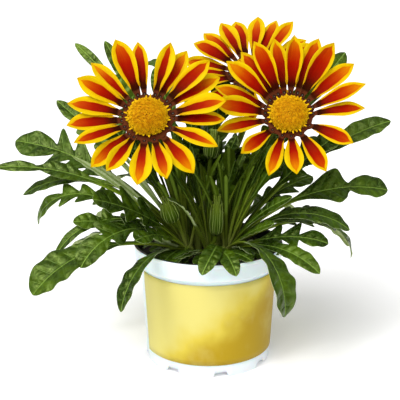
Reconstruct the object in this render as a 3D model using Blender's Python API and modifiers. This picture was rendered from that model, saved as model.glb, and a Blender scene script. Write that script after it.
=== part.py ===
"""A gazania in its pot: three striped blooms on leafless stems over rosettes of leaves with buds.

Run it with blender --background --python part.py, or from Blender's text editor.
Units are metres, +Z is up, and the origin is the centre of the circle that the pot stands on.
Headings are in degrees seen from above: 0 is +X, 90 is +Y, and -90 is the front.
"""

import math
import random
from collections import namedtuple

import bmesh
import bpy
from mathutils import Matrix, Vector

MM = 0.001
GAP = 0.3 * MM

# Driving dimensions of the pot: a standard 12 cm round pot.
POT_HEIGHT = 96 * MM
RIM_RADIUS = 60 * MM
WALL = 1.3 * MM
COLLAR_FOOT = 82 * MM
WALL_TOP = 80 * MM
WALL_TOP_RADIUS = 54.4 * MM
FOOT_RADIUS = 50.2 * MM
FLOOR = 5 * MM
DRAIN_RADIUS = 5 * MM
POT_SIDES = 48
FOOT_NOTCHES = 8
NOTCH_WIDTH = 12 * MM
NOTCH_HEIGHT = 4.4 * MM

# The wrapped label covers all of the wall but a narrow strip at the left.
LABEL_LOW, LABEL_HIGH = 10.5 * MM, 77.5 * MM
LABEL_START = 202
LABEL_STEPS = 44
LABEL_THICKNESS = 0.5 * MM

# The soil stands below the rim, and everything green stands in plain holes in it.
SOIL_TOP = 86 * MM
SOIL_LUMP = 1.1 * MM
HOLE_DEPTH = 10 * MM
HOLE_CUTTER_REACH = 12 * MM

# The rosette's shoots stand on one ring, and the flower stalks on a smaller one inside it.
SHOOT_RING = 18 * MM
SHOOT_RADIUS = 5.2 * MM
SHOOT_TOP = 97 * MM
LEAF_ROOT = 92 * MM
STALK_RING = 8 * MM
STALK_RADIUS = 2.8 * MM
BUD_STALK_RADIUS = 1.8 * MM

PETIOLE_HALF_WIDTH = 2.1 * MM
LEAF_RIB = 1.8 * MM
LOBED_SHARE = 0.56
LOBE_NECK = 0.16

# heading and turn: plan direction at the root and how far it swings, in degrees.
# rise and fall: angle over the horizon at the root and at the tip. bend: how late the leaf arches over.
# length and half_width in millimetres, lobes a side, roll in degrees, and the share that is petiole.
Leaf = namedtuple("Leaf", "heading turn rise fall bend length half_width lobes roll petiole")

SHOOTS = {
    "shoot_front_left": (
        207,
        [
            Leaf(203, 6, 22, -38, 1.5, 140, 13.5, 0, -22, 0.42),
            Leaf(217, 4, 42, -56, 1.5, 112, 15, 2, -24, 0.35),
            Leaf(191, 12, 42, -66, 1.5, 124, 3.5, 0, -30, 0.40),
            Leaf(232, 2, 24, -72, 1.5, 106, 5, 0, 12, 0.30),
            Leaf(213, -4, 50, 16, 1.0, 96, 17, 2, -34, 0.35),
            Leaf(226, 0, 14, 38, 1.0, 42, 4, 0, 20, 0.30),
            Leaf(197, -4, 38, 0, 1.0, 96, 10, 2, -40, 0.45),
            Leaf(228, 8, 42, -6, 1.2, 66, 11, 2, -30, 0.35),
            Leaf(198, 0, 74, 50, 1.0, 92, 5, 0, -40, 0.60),
        ],
    ),
    "shoot_left": (
        172,
        [
            Leaf(181, -8, 36, -86, 3.0, 144, 11, 3, -30, 0.45),
            Leaf(171, 8, 49, -6, 1.0, 172, 7, 1, -40, 0.52),
            Leaf(161, 2, 50, 3, 1.0, 172, 19, 3, -42, 0.48),
            Leaf(176, 2, 24, -62, 1.6, 112, 10, 0, 10, 0.40),
            Leaf(170, 4, 60, -34, 1.1, 156, 6, 0, -30, 0.55),
            Leaf(166, 0, 66, 44, 1.0, 138, 14, 2, -45, 0.55),
            Leaf(152, 0, 78, 58, 1.0, 128, 8, 0, -50, 0.60),
        ],
    ),
    "shoot_back_left": (
        137,
        [
            Leaf(152, -6, 46, 30, 1.0, 174, 9, 2, -35, 0.55),
            Leaf(143, 4, 72, 32, 1.0, 200, 7, 0, -52, 0.68),
            Leaf(131, 4, 68, 58, 1.0, 188, 7, 0, -44, 0.68),
            Leaf(140, -6, 28, -52, 1.5, 128, 12, 2, 8, 0.40),
            Leaf(122, 4, 44, -30, 1.4, 132, 10, 0, -8, 0.42),
            Leaf(158, 0, 74, 50, 1.0, 150, 13, 2, -50, 0.52),
            Leaf(128, 0, 80, 64, 1.0, 148, 8, 0, -36, 0.60),
        ],
    ),
    "shoot_back": (
        92,
        [
            Leaf(110, 12, 86, -14, 1.6, 208, 7, 0, -14, 0.66),
            Leaf(96, -4, 36, -52, 1.5, 128, 12, 0, 6, 0.40),
            Leaf(82, 6, 56, -20, 1.4, 140, 15, 3, -6, 0.42),
            Leaf(104, 5, 24, -66, 1.6, 108, 10, 0, -10, 0.38),
            Leaf(100, 0, 76, 40, 1.1, 150, 13, 2, -20, 0.50),
            Leaf(74, 0, 80, 62, 1.0, 140, 12, 2, 25, 0.50),
            Leaf(96, 0, 86, 74, 1.0, 120, 8, 0, -20, 0.60),
        ],
    ),
    "shoot_back_right": (
        50,
        [
            Leaf(32, -3, 58, 44, 1.0, 192, 8, 0, 56, 0.64),
            Leaf(52, 5, 30, -52, 1.5, 126, 12, 2, 8, 0.40),
            Leaf(66, 4, 46, -28, 1.4, 134, 11, 0, -8, 0.42),
            Leaf(40, -4, 52, 0, 1.3, 146, 15, 3, 34, 0.46),
            Leaf(30, 0, 70, 40, 1.0, 150, 13, 2, 44, 0.52),
            Leaf(24, 0, 44, 8, 1.2, 96, 10, 2, 30, 0.45),
        ],
    ),
    "shoot_right": (
        5,
        [
            Leaf(12, -2, 60, 14, 1.0, 168, 9, 0, 34, 0.56),
            Leaf(-1, 0, 50, -12, 1.1, 146, 17, 1, 34, 0.48),
            Leaf(-10, 12, 28, -96, 2.4, 118, 9, 2, 10, 0.42),
            Leaf(17, 4, 28, -58, 1.5, 118, 10, 0, -8, 0.40),
            Leaf(2, 0, 60, 34, 1.0, 128, 14, 2, 44, 0.50),
            Leaf(4, 0, 38, -30, 1.3, 92, 12, 2, 30, 0.40),
            Leaf(-8, 0, 74, 54, 1.0, 88, 7, 0, 50, 0.60),
        ],
    ),
    "shoot_front_right": (
        -38,
        [
            Leaf(-18, 16, 54, -40, 1.3, 110, 8, 0, 26, 0.38),
            Leaf(-40, 0, 26, -34, 1.3, 90, 6, 0, 30, 0.35),
            Leaf(-60, 2, 36, -98, 1.3, 108, 9, 0, -14, 0.30),
            Leaf(-34, 10, 62, 26, 1.0, 76, 4, 0, 45, 0.40),
            Leaf(-52, 0, 44, 22, 1.0, 64, 4, 0, 40, 0.35),
            Leaf(-26, 6, 70, 52, 1.0, 96, 4, 0, 50, 0.50),
            Leaf(-24, 8, 30, -16, 1.4, 84, 12, 2, 26, 0.35),
            Leaf(-8, 0, 76, 62, 1.0, 92, 4, 0, 45, 0.60),
        ],
    ),
    "shoot_front": (
        -85,
        [
            Leaf(-66, -64, 46, -52, 1.2, 64, 7, 0, -6, 0.25),
            Leaf(-74, 4, 30, -44, 1.5, 62, 7, 0, 0, 0.25),
            Leaf(-130, 2, 10, 0, 1.0, 36, 4.5, 0, 15, 0.25),
            Leaf(-124, 6, 58, 18, 2.0, 86, 3.5, 0, -30, 0.45),
            Leaf(-70, 4, 74, 52, 1.0, 76, 8, 2, 10, 0.40),
            Leaf(-150, 0, 74, 50, 1.0, 96, 3, 0, -40, 0.60),
        ],
    ),
}

# Each bloom: centre of the petals' ring in millimetres, heading and tilt of its face, petal reach in
# millimetres, how much further the upper petals reach than the lower, lift of the petals off its plane
# in degrees, its stalk's heading on the inner ring, and the petals' angles in its plane, as grown.
Bloom = namedtuple("Bloom", "centre heading tilt reach lean lift stalk petals")

BLOOMS = {
    "left": Bloom(
        (-44, -50, 204), -88, 34, 58, 0.07, 8, 190,
        (170, 151, 134, 112, 97, 73, 61, 42, 31, 9, -3, -28, -53, -75, -98, -123, -136, -156, -173),
    ),
    "right": Bloom(
        (61, -13, 200), -94, 34, 59, 0.10, 14, 10,
        (161, 142, 127, 117, 101, 87, 70, 58, 39, 19, 3, -30, -60, -84, -106, -134, -163, -182),
    ),
    "back": Bloom(
        (36, 53, 225), -98, 48, 58, 0.0, 10, 70,
        (172, 156, 138, 122, 108, 88, 72, 56, 38, 20, 0, -21, -42, -63, -85, -107, -130, -151, -170),
    ),
}

# Each bud: the shoot it grows from, centre in millimetres, radius, height, heading and tilt of its tip.
Bud = namedtuple("Bud", "shoot centre radius height heading tilt")

BUDS = (
    Bud("shoot_front_left", (-30, -21, 126), 7, 17, -130, 66),
    Bud("shoot_front", (6, -22, 120), 5, 26, -80, 80),
    Bud("shoot_back", (3, 12, 170), 6, 18, 60, 74),
)

HUB_RADIUS = 21 * MM
HUB_LOW, HUB_HIGH = -2.0 * MM, 0.6 * MM
PETAL_ROOT = 14 * MM
PETAL_HALF_WIDTH = 7.8 * MM
PETAL_RIB = 1.3 * MM
LAYER_LIFT = 4.0
DISC_RADIUS = 14.2 * MM
DISC_TIPS = 17.2 * MM
DISC_HEIGHT = 6 * MM
FLORET_RELIEF = 0.7 * MM
CUP_DEPTH = 18 * MM
CUP_RADIUS = 11.5 * MM


def clear_scene():
    """Remove whatever the file holds, such as Blender's default cube."""
    for old in list(bpy.data.objects):
        bpy.data.objects.remove(old)


def new_collection(name):
    """An empty collection in the scene."""
    made = bpy.data.collections.new(name)
    bpy.context.scene.collection.children.link(made)
    return made


def material(name, colour, roughness):
    """A plain material of a linear colour."""
    made = bpy.data.materials.new(name)
    made.use_nodes = True
    shader = made.node_tree.nodes["Principled BSDF"]
    shader.inputs["Base Color"].default_value = (*colour, 1.0)
    shader.inputs["Roughness"].default_value = roughness
    return made


def placed(name, mesh, collection):
    """An object of a mesh or curve, at the origin."""
    made = bpy.data.objects.new(name, mesh)
    collection.objects.link(made)
    return made


def mesh_of(name, points, faces):
    """A mesh with its normals turned outwards."""
    made = bpy.data.meshes.new(name)
    made.from_pydata([tuple(p) for p in points], [], faces)
    shape = bmesh.new()
    shape.from_mesh(made)
    bmesh.ops.recalc_face_normals(shape, faces=shape.faces)
    shape.to_mesh(made)
    shape.free()
    return made


def evaluated(obj):
    """The mesh that the object's modifiers make, with its loose seams welded."""
    bpy.context.view_layer.update()
    graph = bpy.context.evaluated_depsgraph_get()
    mesh = bpy.data.meshes.new_from_object(obj.evaluated_get(graph))
    mesh.transform(obj.matrix_world)
    shape = bmesh.new()
    shape.from_mesh(mesh)
    bmesh.ops.remove_doubles(shape, verts=shape.verts, dist=0.00001)
    shape.to_mesh(mesh)
    shape.free()
    return mesh


def joined(name, pieces, finish, collection):
    """One body: the Boolean union of the pieces, which are then removed."""
    first, others = pieces[0], pieces[1:]
    group = new_collection(name + "_pieces")
    for piece in others:
        for old in piece.users_collection:
            old.objects.unlink(piece)
        group.objects.link(piece)
    union = first.modifiers.new("union", "BOOLEAN")
    union.operation = "UNION"
    union.operand_type = "COLLECTION"
    union.collection = group
    union.solver = "MANIFOLD"
    mesh = evaluated(first)
    for piece in pieces:
        bpy.data.objects.remove(piece)
    bpy.data.collections.remove(group)
    mesh.materials.clear()
    mesh.materials.append(finish)
    return placed(name, mesh, collection)


def direction(heading, tilt):
    """The unit vector at a plan heading and an angle over the horizon, both in degrees."""
    a, e = math.radians(heading), math.radians(tilt)
    return Vector((math.cos(e) * math.cos(a), math.cos(e) * math.sin(a), math.sin(e)))


def on_ring(radius, heading, height):
    """The point at a heading and a height on a ring round the Z axis."""
    a = math.radians(heading)
    return Vector((radius * math.cos(a), radius * math.sin(a), height))


def facing(centre, heading, tilt):
    """The matrix of a bloom or bud: its Z looks along heading and tilt, and its Y leans up."""
    face = direction(heading, tilt)
    right = Vector((0, 0, 1)).cross(face).normalized()
    up = face.cross(right)
    turned = Matrix((right, up, face)).transposed().to_4x4()
    return Matrix.Translation(Vector(centre) * MM) @ turned


def blade_solid(name, rings, tip, collection):
    """A thin blade lofted through rings of four points: left edge, upper rib, right edge, lower rib.

    Every quad is split from the rib to the next edge point, alike on both faces.
    """
    points = [p for ring in rings for p in ring] + [tip]
    faces = [(0, 1, 2), (0, 2, 3)]
    for i in range(len(rings) - 1):
        here, there = 4 * i, 4 * (i + 1)
        for rib in (1, 3):
            for edge in (0, 2):
                faces.append((here + rib, here + edge, there + edge))
                faces.append((here + rib, there + edge, there + rib))
    last, end = 4 * (len(rings) - 1), len(points) - 1
    faces += [(last + k, last + (k + 1) % 4, end) for k in range(4)]
    return placed(name, mesh_of(name, points, faces), collection)


def round_solid(name, rings, place, collection):
    """A closed solid lofted through rings of equal point counts, from a point below to a point on top."""
    count = len(rings[0])
    low = sum(rings[0], Vector()) / count
    high = sum(rings[-1], Vector()) / count
    points = [place @ p for ring in rings for p in ring] + [place @ low, place @ high]
    faces = []
    for i in range(len(rings) - 1):
        for k in range(count):
            a, b = i * count + k, i * count + (k + 1) % count
            faces.append((a, b, b + count, a + count))
    top = (len(rings) - 1) * count
    for k in range(count):
        faces.append((k, (k + 1) % count, len(points) - 2))
        faces.append((top + k, top + (k + 1) % count, len(points) - 1))
    return placed(name, mesh_of(name, points, faces), collection)


def circle(radius, height, sides, ripple=0.0, waves=0):
    """Points round the Z axis, the radius rippled by a cosine."""
    ring = []
    for k in range(sides):
        a = 2 * math.pi * k / sides
        r = radius * (1 + ripple * math.cos(waves * a))
        ring.append(Vector((r * math.cos(a), r * math.sin(a), height)))
    return ring


def turned(name, profile, sides, collection):
    """A profile of (radius, height) points turned about Z by a Screw modifier, then made a mesh."""
    guide = placed(name + "_profile", bpy.data.meshes.new(name), collection)
    count = len(profile)
    edges = [(k, (k + 1) % count) for k in range(count)]
    guide.data.from_pydata([(r, 0, z) for r, z in profile], edges, [])
    screw = guide.modifiers.new("screw", "SCREW")
    screw.steps = screw.render_steps = sides
    screw.use_merge_vertices = True
    screw.merge_threshold = 0.0001
    screw.use_normal_calculate = True
    mesh = evaluated(guide)
    bpy.data.objects.remove(guide)
    shape = bmesh.new()
    shape.from_mesh(mesh)
    bmesh.ops.recalc_face_normals(shape, faces=shape.faces)
    shape.to_mesh(mesh)
    shape.free()
    return mesh


def stalk(name, root, over, under, end, radius, collection):
    """A round stalk, upright at its root and then along a Bezier line to its end, its caps welded."""
    steps = 8
    base = root + Vector((0, 0, HOLE_DEPTH + 2 * MM))
    curve = bpy.data.curves.new(name, "CURVE")
    curve.dimensions = "3D"
    curve.bevel_depth = radius
    curve.bevel_resolution = 2
    curve.use_fill_caps = True
    line = curve.splines.new("POLY")
    line.points.add(steps + 1)
    line.points[0].co = (*root, 1)
    for k in range(steps + 1):
        t = k / steps
        spot = (
            base * (1 - t) ** 3
            + over * 3 * t * (1 - t) ** 2
            + under * 3 * t * t * (1 - t)
            + end * t**3
        )
        line.points[k + 1].co = (*spot, 1)
    guide = placed(name, curve, collection)
    mesh = evaluated(guide)
    bpy.data.objects.remove(guide)
    return placed(name, mesh, collection)


def wall_radius(height):
    """The outer radius of the pot's tapered wall at a height."""
    return FOOT_RADIUS + (WALL_TOP_RADIUS - FOOT_RADIUS) * height / WALL_TOP


def make_pot(finish, collection, cutters):
    """A moulded pot: wide collar, tapered wall, raised floor with a drain hole, and a notched foot."""
    foot_inside = FOOT_RADIUS - 2 * WALL
    outside = [
        (RIM_RADIUS - 0.5 * MM, POT_HEIGHT),
        (RIM_RADIUS, POT_HEIGHT - 0.6 * MM),
        (RIM_RADIUS - 1.2 * MM, COLLAR_FOOT),
        (wall_radius(WALL_TOP) + 0.6 * MM, WALL_TOP),
        (wall_radius(WALL_TOP), WALL_TOP - MM),
        (wall_radius(0), 0),
        (foot_inside, 0),
        (foot_inside, FLOOR),
        (DRAIN_RADIUS, FLOOR),
    ]
    inside = [
        (DRAIN_RADIUS, FLOOR + WALL),
        (wall_radius(FLOOR) - 2 * WALL, FLOOR + WALL),
        (wall_radius(FLOOR + 2 * WALL) - WALL, FLOOR + 2.2 * WALL),
        (wall_radius(WALL_TOP) - WALL, WALL_TOP + 0.8 * WALL),
        (RIM_RADIUS - 1.2 * MM - WALL, COLLAR_FOOT + WALL),
        (RIM_RADIUS - 1.2 * MM - WALL, POT_HEIGHT - 2.5 * MM),
        (RIM_RADIUS - 3 * MM, POT_HEIGHT),
    ]
    pot = placed("pot", turned("pot", outside + inside, POT_SIDES, collection), collection)
    pot.data.materials.append(finish)
    for k in range(FOOT_NOTCHES):
        bpy.ops.mesh.primitive_cube_add(size=1)
        notch = bpy.context.object
        notch.name = f"notch_{k}"
        heading = 360 * (k + 0.25) / FOOT_NOTCHES
        notch.scale = (4 * WALL, NOTCH_WIDTH, 2 * NOTCH_HEIGHT)
        notch.rotation_euler.z = math.radians(heading)
        notch.location = on_ring(FOOT_RADIUS - WALL, heading, 0)
        for old in notch.users_collection:
            old.objects.unlink(notch)
        cutters.objects.link(notch)
        notch.hide_render = True
        notch.display_type = "WIRE"
    cut = pot.modifiers.new("notches", "BOOLEAN")
    cut.operation = "DIFFERENCE"
    cut.operand_type = "COLLECTION"
    cut.collection = cutters


def make_label(finish, collection):
    """A thin sheet bent round the tapered wall, with a strip of the wall left bare."""
    step = 360 / POT_SIDES
    shape = bmesh.new()
    bmesh.ops.create_grid(shape, x_segments=LABEL_STEPS, y_segments=1, size=0.5)
    for corner in shape.verts:
        across, up = corner.co.x + 0.5, corner.co.y + 0.5
        height = LABEL_LOW + (LABEL_HIGH - LABEL_LOW) * up
        heading = LABEL_START + across * LABEL_STEPS * step
        corner.co = on_ring(wall_radius(height) + GAP, heading, height)
    mesh = bpy.data.meshes.new("pot_label")
    bmesh.ops.recalc_face_normals(shape, faces=shape.faces)
    shape.to_mesh(mesh)
    shape.free()
    label = placed("pot_label", mesh, collection)
    label.data.materials.append(finish)
    thicken = label.modifiers.new("thickness", "SOLIDIFY")
    thicken.thickness = LABEL_THICKNESS
    outward = mesh.polygons[0].normal.dot(mesh.polygons[0].center) > 0
    thicken.offset = 1.0 if outward else -1.0


def make_soil(finish, collection, holes):
    """Potting mix that fills the pot to just under its collar, with a lumpy top and a hole for each stem."""
    sides, inset = 28, WALL + GAP
    wide = RIM_RADIUS - 1.2 * MM - inset
    tops = [(wide * share, SOIL_TOP) for share in (1.0, 0.86, 0.72, 0.58, 0.44, 0.3, 0.15)]
    profile = [
        (0, FLOOR + WALL + GAP),
        (wall_radius(FLOOR) - 2 * WALL - GAP, FLOOR + WALL + GAP),
        (wall_radius(FLOOR + 2 * WALL) - inset, FLOOR + 2.2 * WALL + GAP),
        (wall_radius(WALL_TOP) - inset, WALL_TOP + 0.8 * WALL + GAP),
        (wide, COLLAR_FOOT + WALL + GAP),
        *tops,
        (0, SOIL_TOP),
    ]
    mesh = turned("soil", profile, sides, collection)
    lumps = random.Random(4)
    waves = [(lumps.uniform(90, 420), lumps.uniform(0, 7), lumps.uniform(0, 7)) for _ in range(7)]
    for corner in mesh.vertices:
        if corner.co.z > SOIL_TOP - 0.1 * MM and corner.co.xy.length < wide * 0.95:
            rough = sum(
                math.sin(f * corner.co.x + a) * math.cos(f * corner.co.y + b) for f, a, b in waves
            )
            corner.co.z += SOIL_LUMP * rough / 3
    soil = placed("soil", mesh, collection)
    soil.data.materials.append(finish)
    cut = soil.modifiers.new("holes", "BOOLEAN")
    cut.operation = "DIFFERENCE"
    cut.operand_type = "COLLECTION"
    cut.collection = holes


def add_hole(spot, radius, holes):
    """A plain round hole in the soil for one stem, a gap wider and deeper than the stem."""
    height = HOLE_DEPTH + HOLE_CUTTER_REACH
    bpy.ops.mesh.primitive_cylinder_add(vertices=10, radius=radius + 2 * GAP, depth=height)
    hole = bpy.context.object
    hole.name = f"hole_{len(holes.objects)}"
    hole.location = (spot.x, spot.y, SOIL_TOP - HOLE_DEPTH - GAP + height / 2)
    for old in hole.users_collection:
        old.objects.unlink(hole)
    holes.objects.link(hole)
    hole.hide_render = True
    hole.display_type = "WIRE"


def blade_outline(u, lobes):
    """(width, forward reach) of the blade's edge at u, as shares of the half width.

    A plain blade widens towards two thirds of its length and closes in a blunt point. A lobed one has
    that many lobes a side, pointing forward, and then an end lobe.
    """
    if not lobes:
        return math.sin(math.pi * u**1.6) ** 0.75, 0.0
    if u <= LOBED_SHARE:
        swell = 0.5 - 0.5 * math.cos(2 * math.pi * lobes * u / LOBED_SHARE)
        return LOBE_NECK + swell * (0.5 + 0.4 * u / LOBED_SHARE), 0.8 * swell
    t = (u - LOBED_SHARE) / (1 - LOBED_SHARE)
    return LOBE_NECK * (1 - t) + 0.52 * math.sin(math.pi * t**0.85) ** 0.7, 0.0


def blade_stations(lobes):
    """Places along the blade: evenly on a plain one, and at each notch and lobe tip on a lobed one."""
    if not lobes:
        return [0.22, 0.42, 0.62, 0.80, 0.93]
    notches = [LOBED_SHARE * k / (2 * lobes) for k in range(1, 2 * lobes + 1)]
    return notches + [LOBED_SHARE + (1 - LOBED_SHARE) * t for t in (0.3, 0.6, 0.85)]


def leaf_frame(leaf, s):
    """(along, side, face) of the leaf at the share s of its length."""
    heading = leaf.heading + leaf.turn * s
    along = direction(heading, leaf.rise + (leaf.fall - leaf.rise) * s**leaf.bend)
    level = direction(heading + 90, 0)
    upright = along.cross(level)
    roll = math.radians(leaf.roll) * min(1.0, s / leaf.petiole)
    side = level * math.cos(roll) + upright * math.sin(roll)
    return along, side, along.cross(side)


def leaf_line(leaf, root, s):
    """The midrib at the share s: the sum of short steps along the leaf's direction."""
    steps = 40
    spot = root.copy()
    for k in range(steps):
        spot += leaf_frame(leaf, s * (k + 0.5) / steps)[0] * (leaf.length * MM * s / steps)
    return spot


def leaf_root(ring_heading, leaf, k):
    """Where leaf k leaves its shoot: inside the shoot's stub, a little towards the leaf's own side."""
    stub = on_ring(SHOOT_RING, ring_heading, LEAF_ROOT + (k % 3 - 1) * 1.5 * MM)
    return stub + direction(leaf.heading, 0) * 1.5 * MM


def make_leaf(name, leaf, root, collection):
    """A leaf: slim petiole, then a blade with a raised midrib, cut into lobes or plain, its edges waved."""
    stations = [(0.0, None), (leaf.petiole * 0.5, None), (leaf.petiole, 0.0)]
    stations += [(leaf.petiole + (1 - leaf.petiole) * u, u) for u in blade_stations(leaf.lobes)]
    rings = []
    for s, u in stations:
        spot = leaf_line(leaf, root, s)
        along, side, face = leaf_frame(leaf, s)
        wide, forward = (0.0, 0.0) if u is None else blade_outline(u, leaf.lobes)
        half = PETIOLE_HALF_WIDTH * (1 - 0.7 * (u or 0)) + wide * leaf.half_width * MM
        reach = along * forward * leaf.half_width * MM
        rib = LEAF_RIB * (1 - 0.45 * s)
        lift = face * 0.16 * (half - PETIOLE_HALF_WIDTH) if u else Vector()
        wave = face * 0.10 * half * math.sin(9 * s) if u else Vector()
        rings.append([
            spot + side * half + reach + lift + wave,
            spot + face * rib * 0.4,
            spot - side * half + reach + lift - wave,
            spot - face * rib * 0.6,
        ])
    return blade_solid(name, rings, leaf_line(leaf, root, 1.0), collection)


def make_shoot(name, ring_heading, leaves, finish, collection, holes):
    """A leafy shoot: a short fleshy stub that stands in the soil, and its leaves."""
    foot = SOIL_TOP - HOLE_DEPTH
    rings = [
        circle(SHOOT_RADIUS * 0.8, foot, 10),
        circle(SHOOT_RADIUS, foot + 4 * MM, 10),
        circle(SHOOT_RADIUS, LEAF_ROOT - 3 * MM, 10),
        circle(SHOOT_RADIUS * 0.8, LEAF_ROOT + 2 * MM, 10),
        circle(SHOOT_RADIUS * 0.45, SHOOT_TOP, 10),
    ]
    spot = on_ring(SHOOT_RING, ring_heading, 0)
    pieces = [round_solid(name + "_stub", rings, Matrix.Translation(spot), collection)]
    for k, leaf in enumerate(leaves):
        root = leaf_root(ring_heading, leaf, k)
        pieces.append(make_leaf(f"{name}_leaf_{k}", leaf, root, collection))
    for bud in BUDS:
        if bud.shoot == name:
            pieces += make_bud(name + "_bud", bud, spot, collection)
    add_hole(spot, SHOOT_RADIUS, holes)
    joined(name, pieces, finish, collection)


def make_bloom(name, bloom, finishes, collection, holes):
    """A bloom in three nodes: green stalk with its cup, ring of ray petals, and the disc of florets."""
    green, rays, florets = finishes
    place = facing(bloom.centre, bloom.heading, bloom.tilt)
    make_flower_stalk(name, bloom, place, green, collection, holes)
    make_rays(name, bloom, place, rays, collection)
    make_disc(name, place, florets, collection)


def make_flower_stalk(name, bloom, place, finish, collection, holes):
    """A leafless stalk that stands in its hole in the soil, and the green cup that it ends in."""
    cup_profile = ((0.30, -1.0), (0.62, -0.86), (0.88, -0.55), (1.0, -0.2))
    cup = [circle(CUP_RADIUS * r, CUP_DEPTH * h, 16) for r, h in cup_profile]
    cup.append(circle(CUP_RADIUS, HUB_LOW - GAP, 16))
    cup_solid = round_solid(name + "_cup", cup, place, collection)
    foot = on_ring(STALK_RING, bloom.stalk, SOIL_TOP - HOLE_DEPTH)
    head = place @ Vector((0, 0, -0.8 * CUP_DEPTH))
    back = place @ Vector((0, 0, -4.2 * CUP_DEPTH))
    over = foot + Vector((0, 0, 75 * MM))
    line = stalk(name + "_line", foot, over, back, head, STALK_RADIUS, collection)
    add_hole(foot, STALK_RADIUS, holes)
    joined("flower_stem_" + name, [cup_solid, line], finish, collection)


def petal_half_width(u):
    """Share of the full half width at u: a narrow claw, the widest at two thirds, and a pointed tip."""
    return 0.24 * (1 - u) + math.sin(math.pi * u**1.55)


def make_petal(name, angle, lift, length, curl, breadth, twist, place, collection):
    """A petal from the hub outwards at an angle in the bloom's plane, lifted off that plane at its middle.

    Over its length it curls by the curl and turns about its midline by the twist, and its edges fold up.
    """
    spot = on_ring(PETAL_ROOT, angle, 0.5 * (HUB_LOW + HUB_HIGH))
    level = direction(angle + 90, 0)
    rings, before = [], 0.0
    for u in (0.0, 0.22, 0.42, 0.6, 0.76, 0.9):
        along = direction(angle, lift + curl * (u - 0.5))
        spot = spot + along * length * (u - before)
        before = u
        upright = along.cross(level)
        side = level * math.cos(twist * u) + upright * math.sin(twist * u)
        face = along.cross(side)
        half = breadth * petal_half_width(u)
        fold = face * half * 0.22
        rings.append([
            place @ (spot + side * half + fold),
            place @ (spot + face * PETAL_RIB * 0.3),
            place @ (spot - side * half + fold),
            place @ (spot - face * PETAL_RIB * 0.7),
        ])
    tip = place @ (spot + along * length * (1 - before))
    return blade_solid(name, rings, tip, collection)


def make_rays(name, bloom, place, finish, collection):
    """The ring of ray petals, in two layers, on the flat hub that their dark bases make."""
    hub = [
        circle(HUB_RADIUS * 0.55, HUB_LOW, 24),
        circle(HUB_RADIUS * 0.97, HUB_LOW + 0.7 * MM, 24),
        circle(HUB_RADIUS, HUB_HIGH - 0.5 * MM, 24),
        circle(HUB_RADIUS * 0.8, HUB_HIGH, 24),
    ]
    pieces = [round_solid(name + "_hub", hub, place, collection)]
    growth = random.Random(name)
    for k, angle in enumerate(bloom.petals):
        lift = bloom.lift + (LAYER_LIFT if k % 2 else -LAYER_LIFT) + growth.uniform(-2, 2)
        reach = bloom.reach * (1 + bloom.lean * math.sin(math.radians(angle)))
        length = (reach * MM - PETAL_ROOT) * growth.uniform(0.97, 1.03)
        curl = growth.uniform(-22, -10)
        breadth = PETAL_HALF_WIDTH * growth.uniform(0.88, 1.08)
        twist = math.radians(growth.uniform(-14, 14))
        petal = f"{name}_petal_{k}"
        pieces.append(make_petal(petal, angle, lift, length, curl, breadth, twist, place, collection))
    joined(f"bloom_{name}_rays", pieces, finish, collection)


def make_disc(name, place, finish, collection):
    """The domed disc, its florets raised on the dome by turns, with a rim of pointed florets."""
    sides = 40
    low = HUB_HIGH + GAP
    rings = [circle(DISC_RADIUS * 0.9, low, sides)]
    star = []
    for k in range(sides):
        reach = DISC_TIPS if k % 2 else DISC_RADIUS
        star.append(on_ring(reach, 360 * k / sides, low + (1.9 if k % 2 else 1.2) * MM))
    rings.append(star)
    for j, share in enumerate((0.9, 0.7, 0.48, 0.24)):
        height = low + 1.8 * MM + DISC_HEIGHT * math.sqrt(1 - share**2)
        ring = circle(DISC_RADIUS * share, height, sides)
        for k, point in enumerate(ring):
            if (k // 2 + j) % 2:
                point.z += FLORET_RELIEF
        rings.append(ring)
    disc = round_solid(f"bloom_{name}_disc", rings, place, collection)
    disc.data.materials.append(finish)


def make_bud(name, bud, stub, collection):
    """A closed bud, an egg of ribbed bracts that end in points, and the stalk it stands on."""
    place = facing(bud.centre, bud.heading, bud.tilt)
    radius, height = bud.radius * MM, bud.height * MM
    egg = ((0.35, -0.5), (0.85, -0.36), (1.0, -0.1), (0.92, 0.16), (0.66, 0.36), (0.36, 0.5))
    rings = [circle(radius * r, height * h, 16, 0.10, 8) for r, h in egg]
    bracts = round_solid(name + "_bracts", rings, place, collection)
    foot = stub + Vector((0, 0, SOIL_TOP - MM))
    head = place @ Vector((0, 0, -0.4 * height))
    back = place @ Vector((0, 0, -0.9 * height))
    over = foot + Vector((0, 0, 0.6 * (head.z - foot.z)))
    return [bracts, stalk(name + "_line", foot, over, back, head, BUD_STALK_RADIUS, collection)]


def main():
    clear_scene()
    gazania = new_collection("gazania")
    notches = new_collection("notch_cutters")
    holes = new_collection("hole_cutters")
    white = material("white_plastic", (0.86, 0.90, 0.93), 0.35)
    yellow = material("label_film", (0.88, 0.70, 0.10), 0.4)
    mix = material("potting_mix", (0.035, 0.025, 0.018), 0.95)
    leaf_green = material("leaf", (0.055, 0.16, 0.035), 0.45)
    stem_green = material("stem", (0.12, 0.24, 0.04), 0.5)
    striped = material("ray_petals", (0.90, 0.42, 0.01), 0.5)
    orange = material("disc_florets", (0.85, 0.40, 0.02), 0.7)

    make_pot(white, gazania, notches)
    make_label(yellow, gazania)
    for name, (ring_heading, leaves) in SHOOTS.items():
        make_shoot(name, ring_heading, leaves, leaf_green, gazania, holes)
    for name, bloom in BLOOMS.items():
        make_bloom(name, bloom, (stem_green, striped, orange), gazania, holes)
    make_soil(mix, gazania, holes)


main()
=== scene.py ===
"""Looks of a gazania in its pot: striped blooms over a rosette of green leaves.

Sizes are metres unless a name says millimetres. +Z is up, and the blooms face -Y.
"""

import random
from collections import namedtuple

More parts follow.
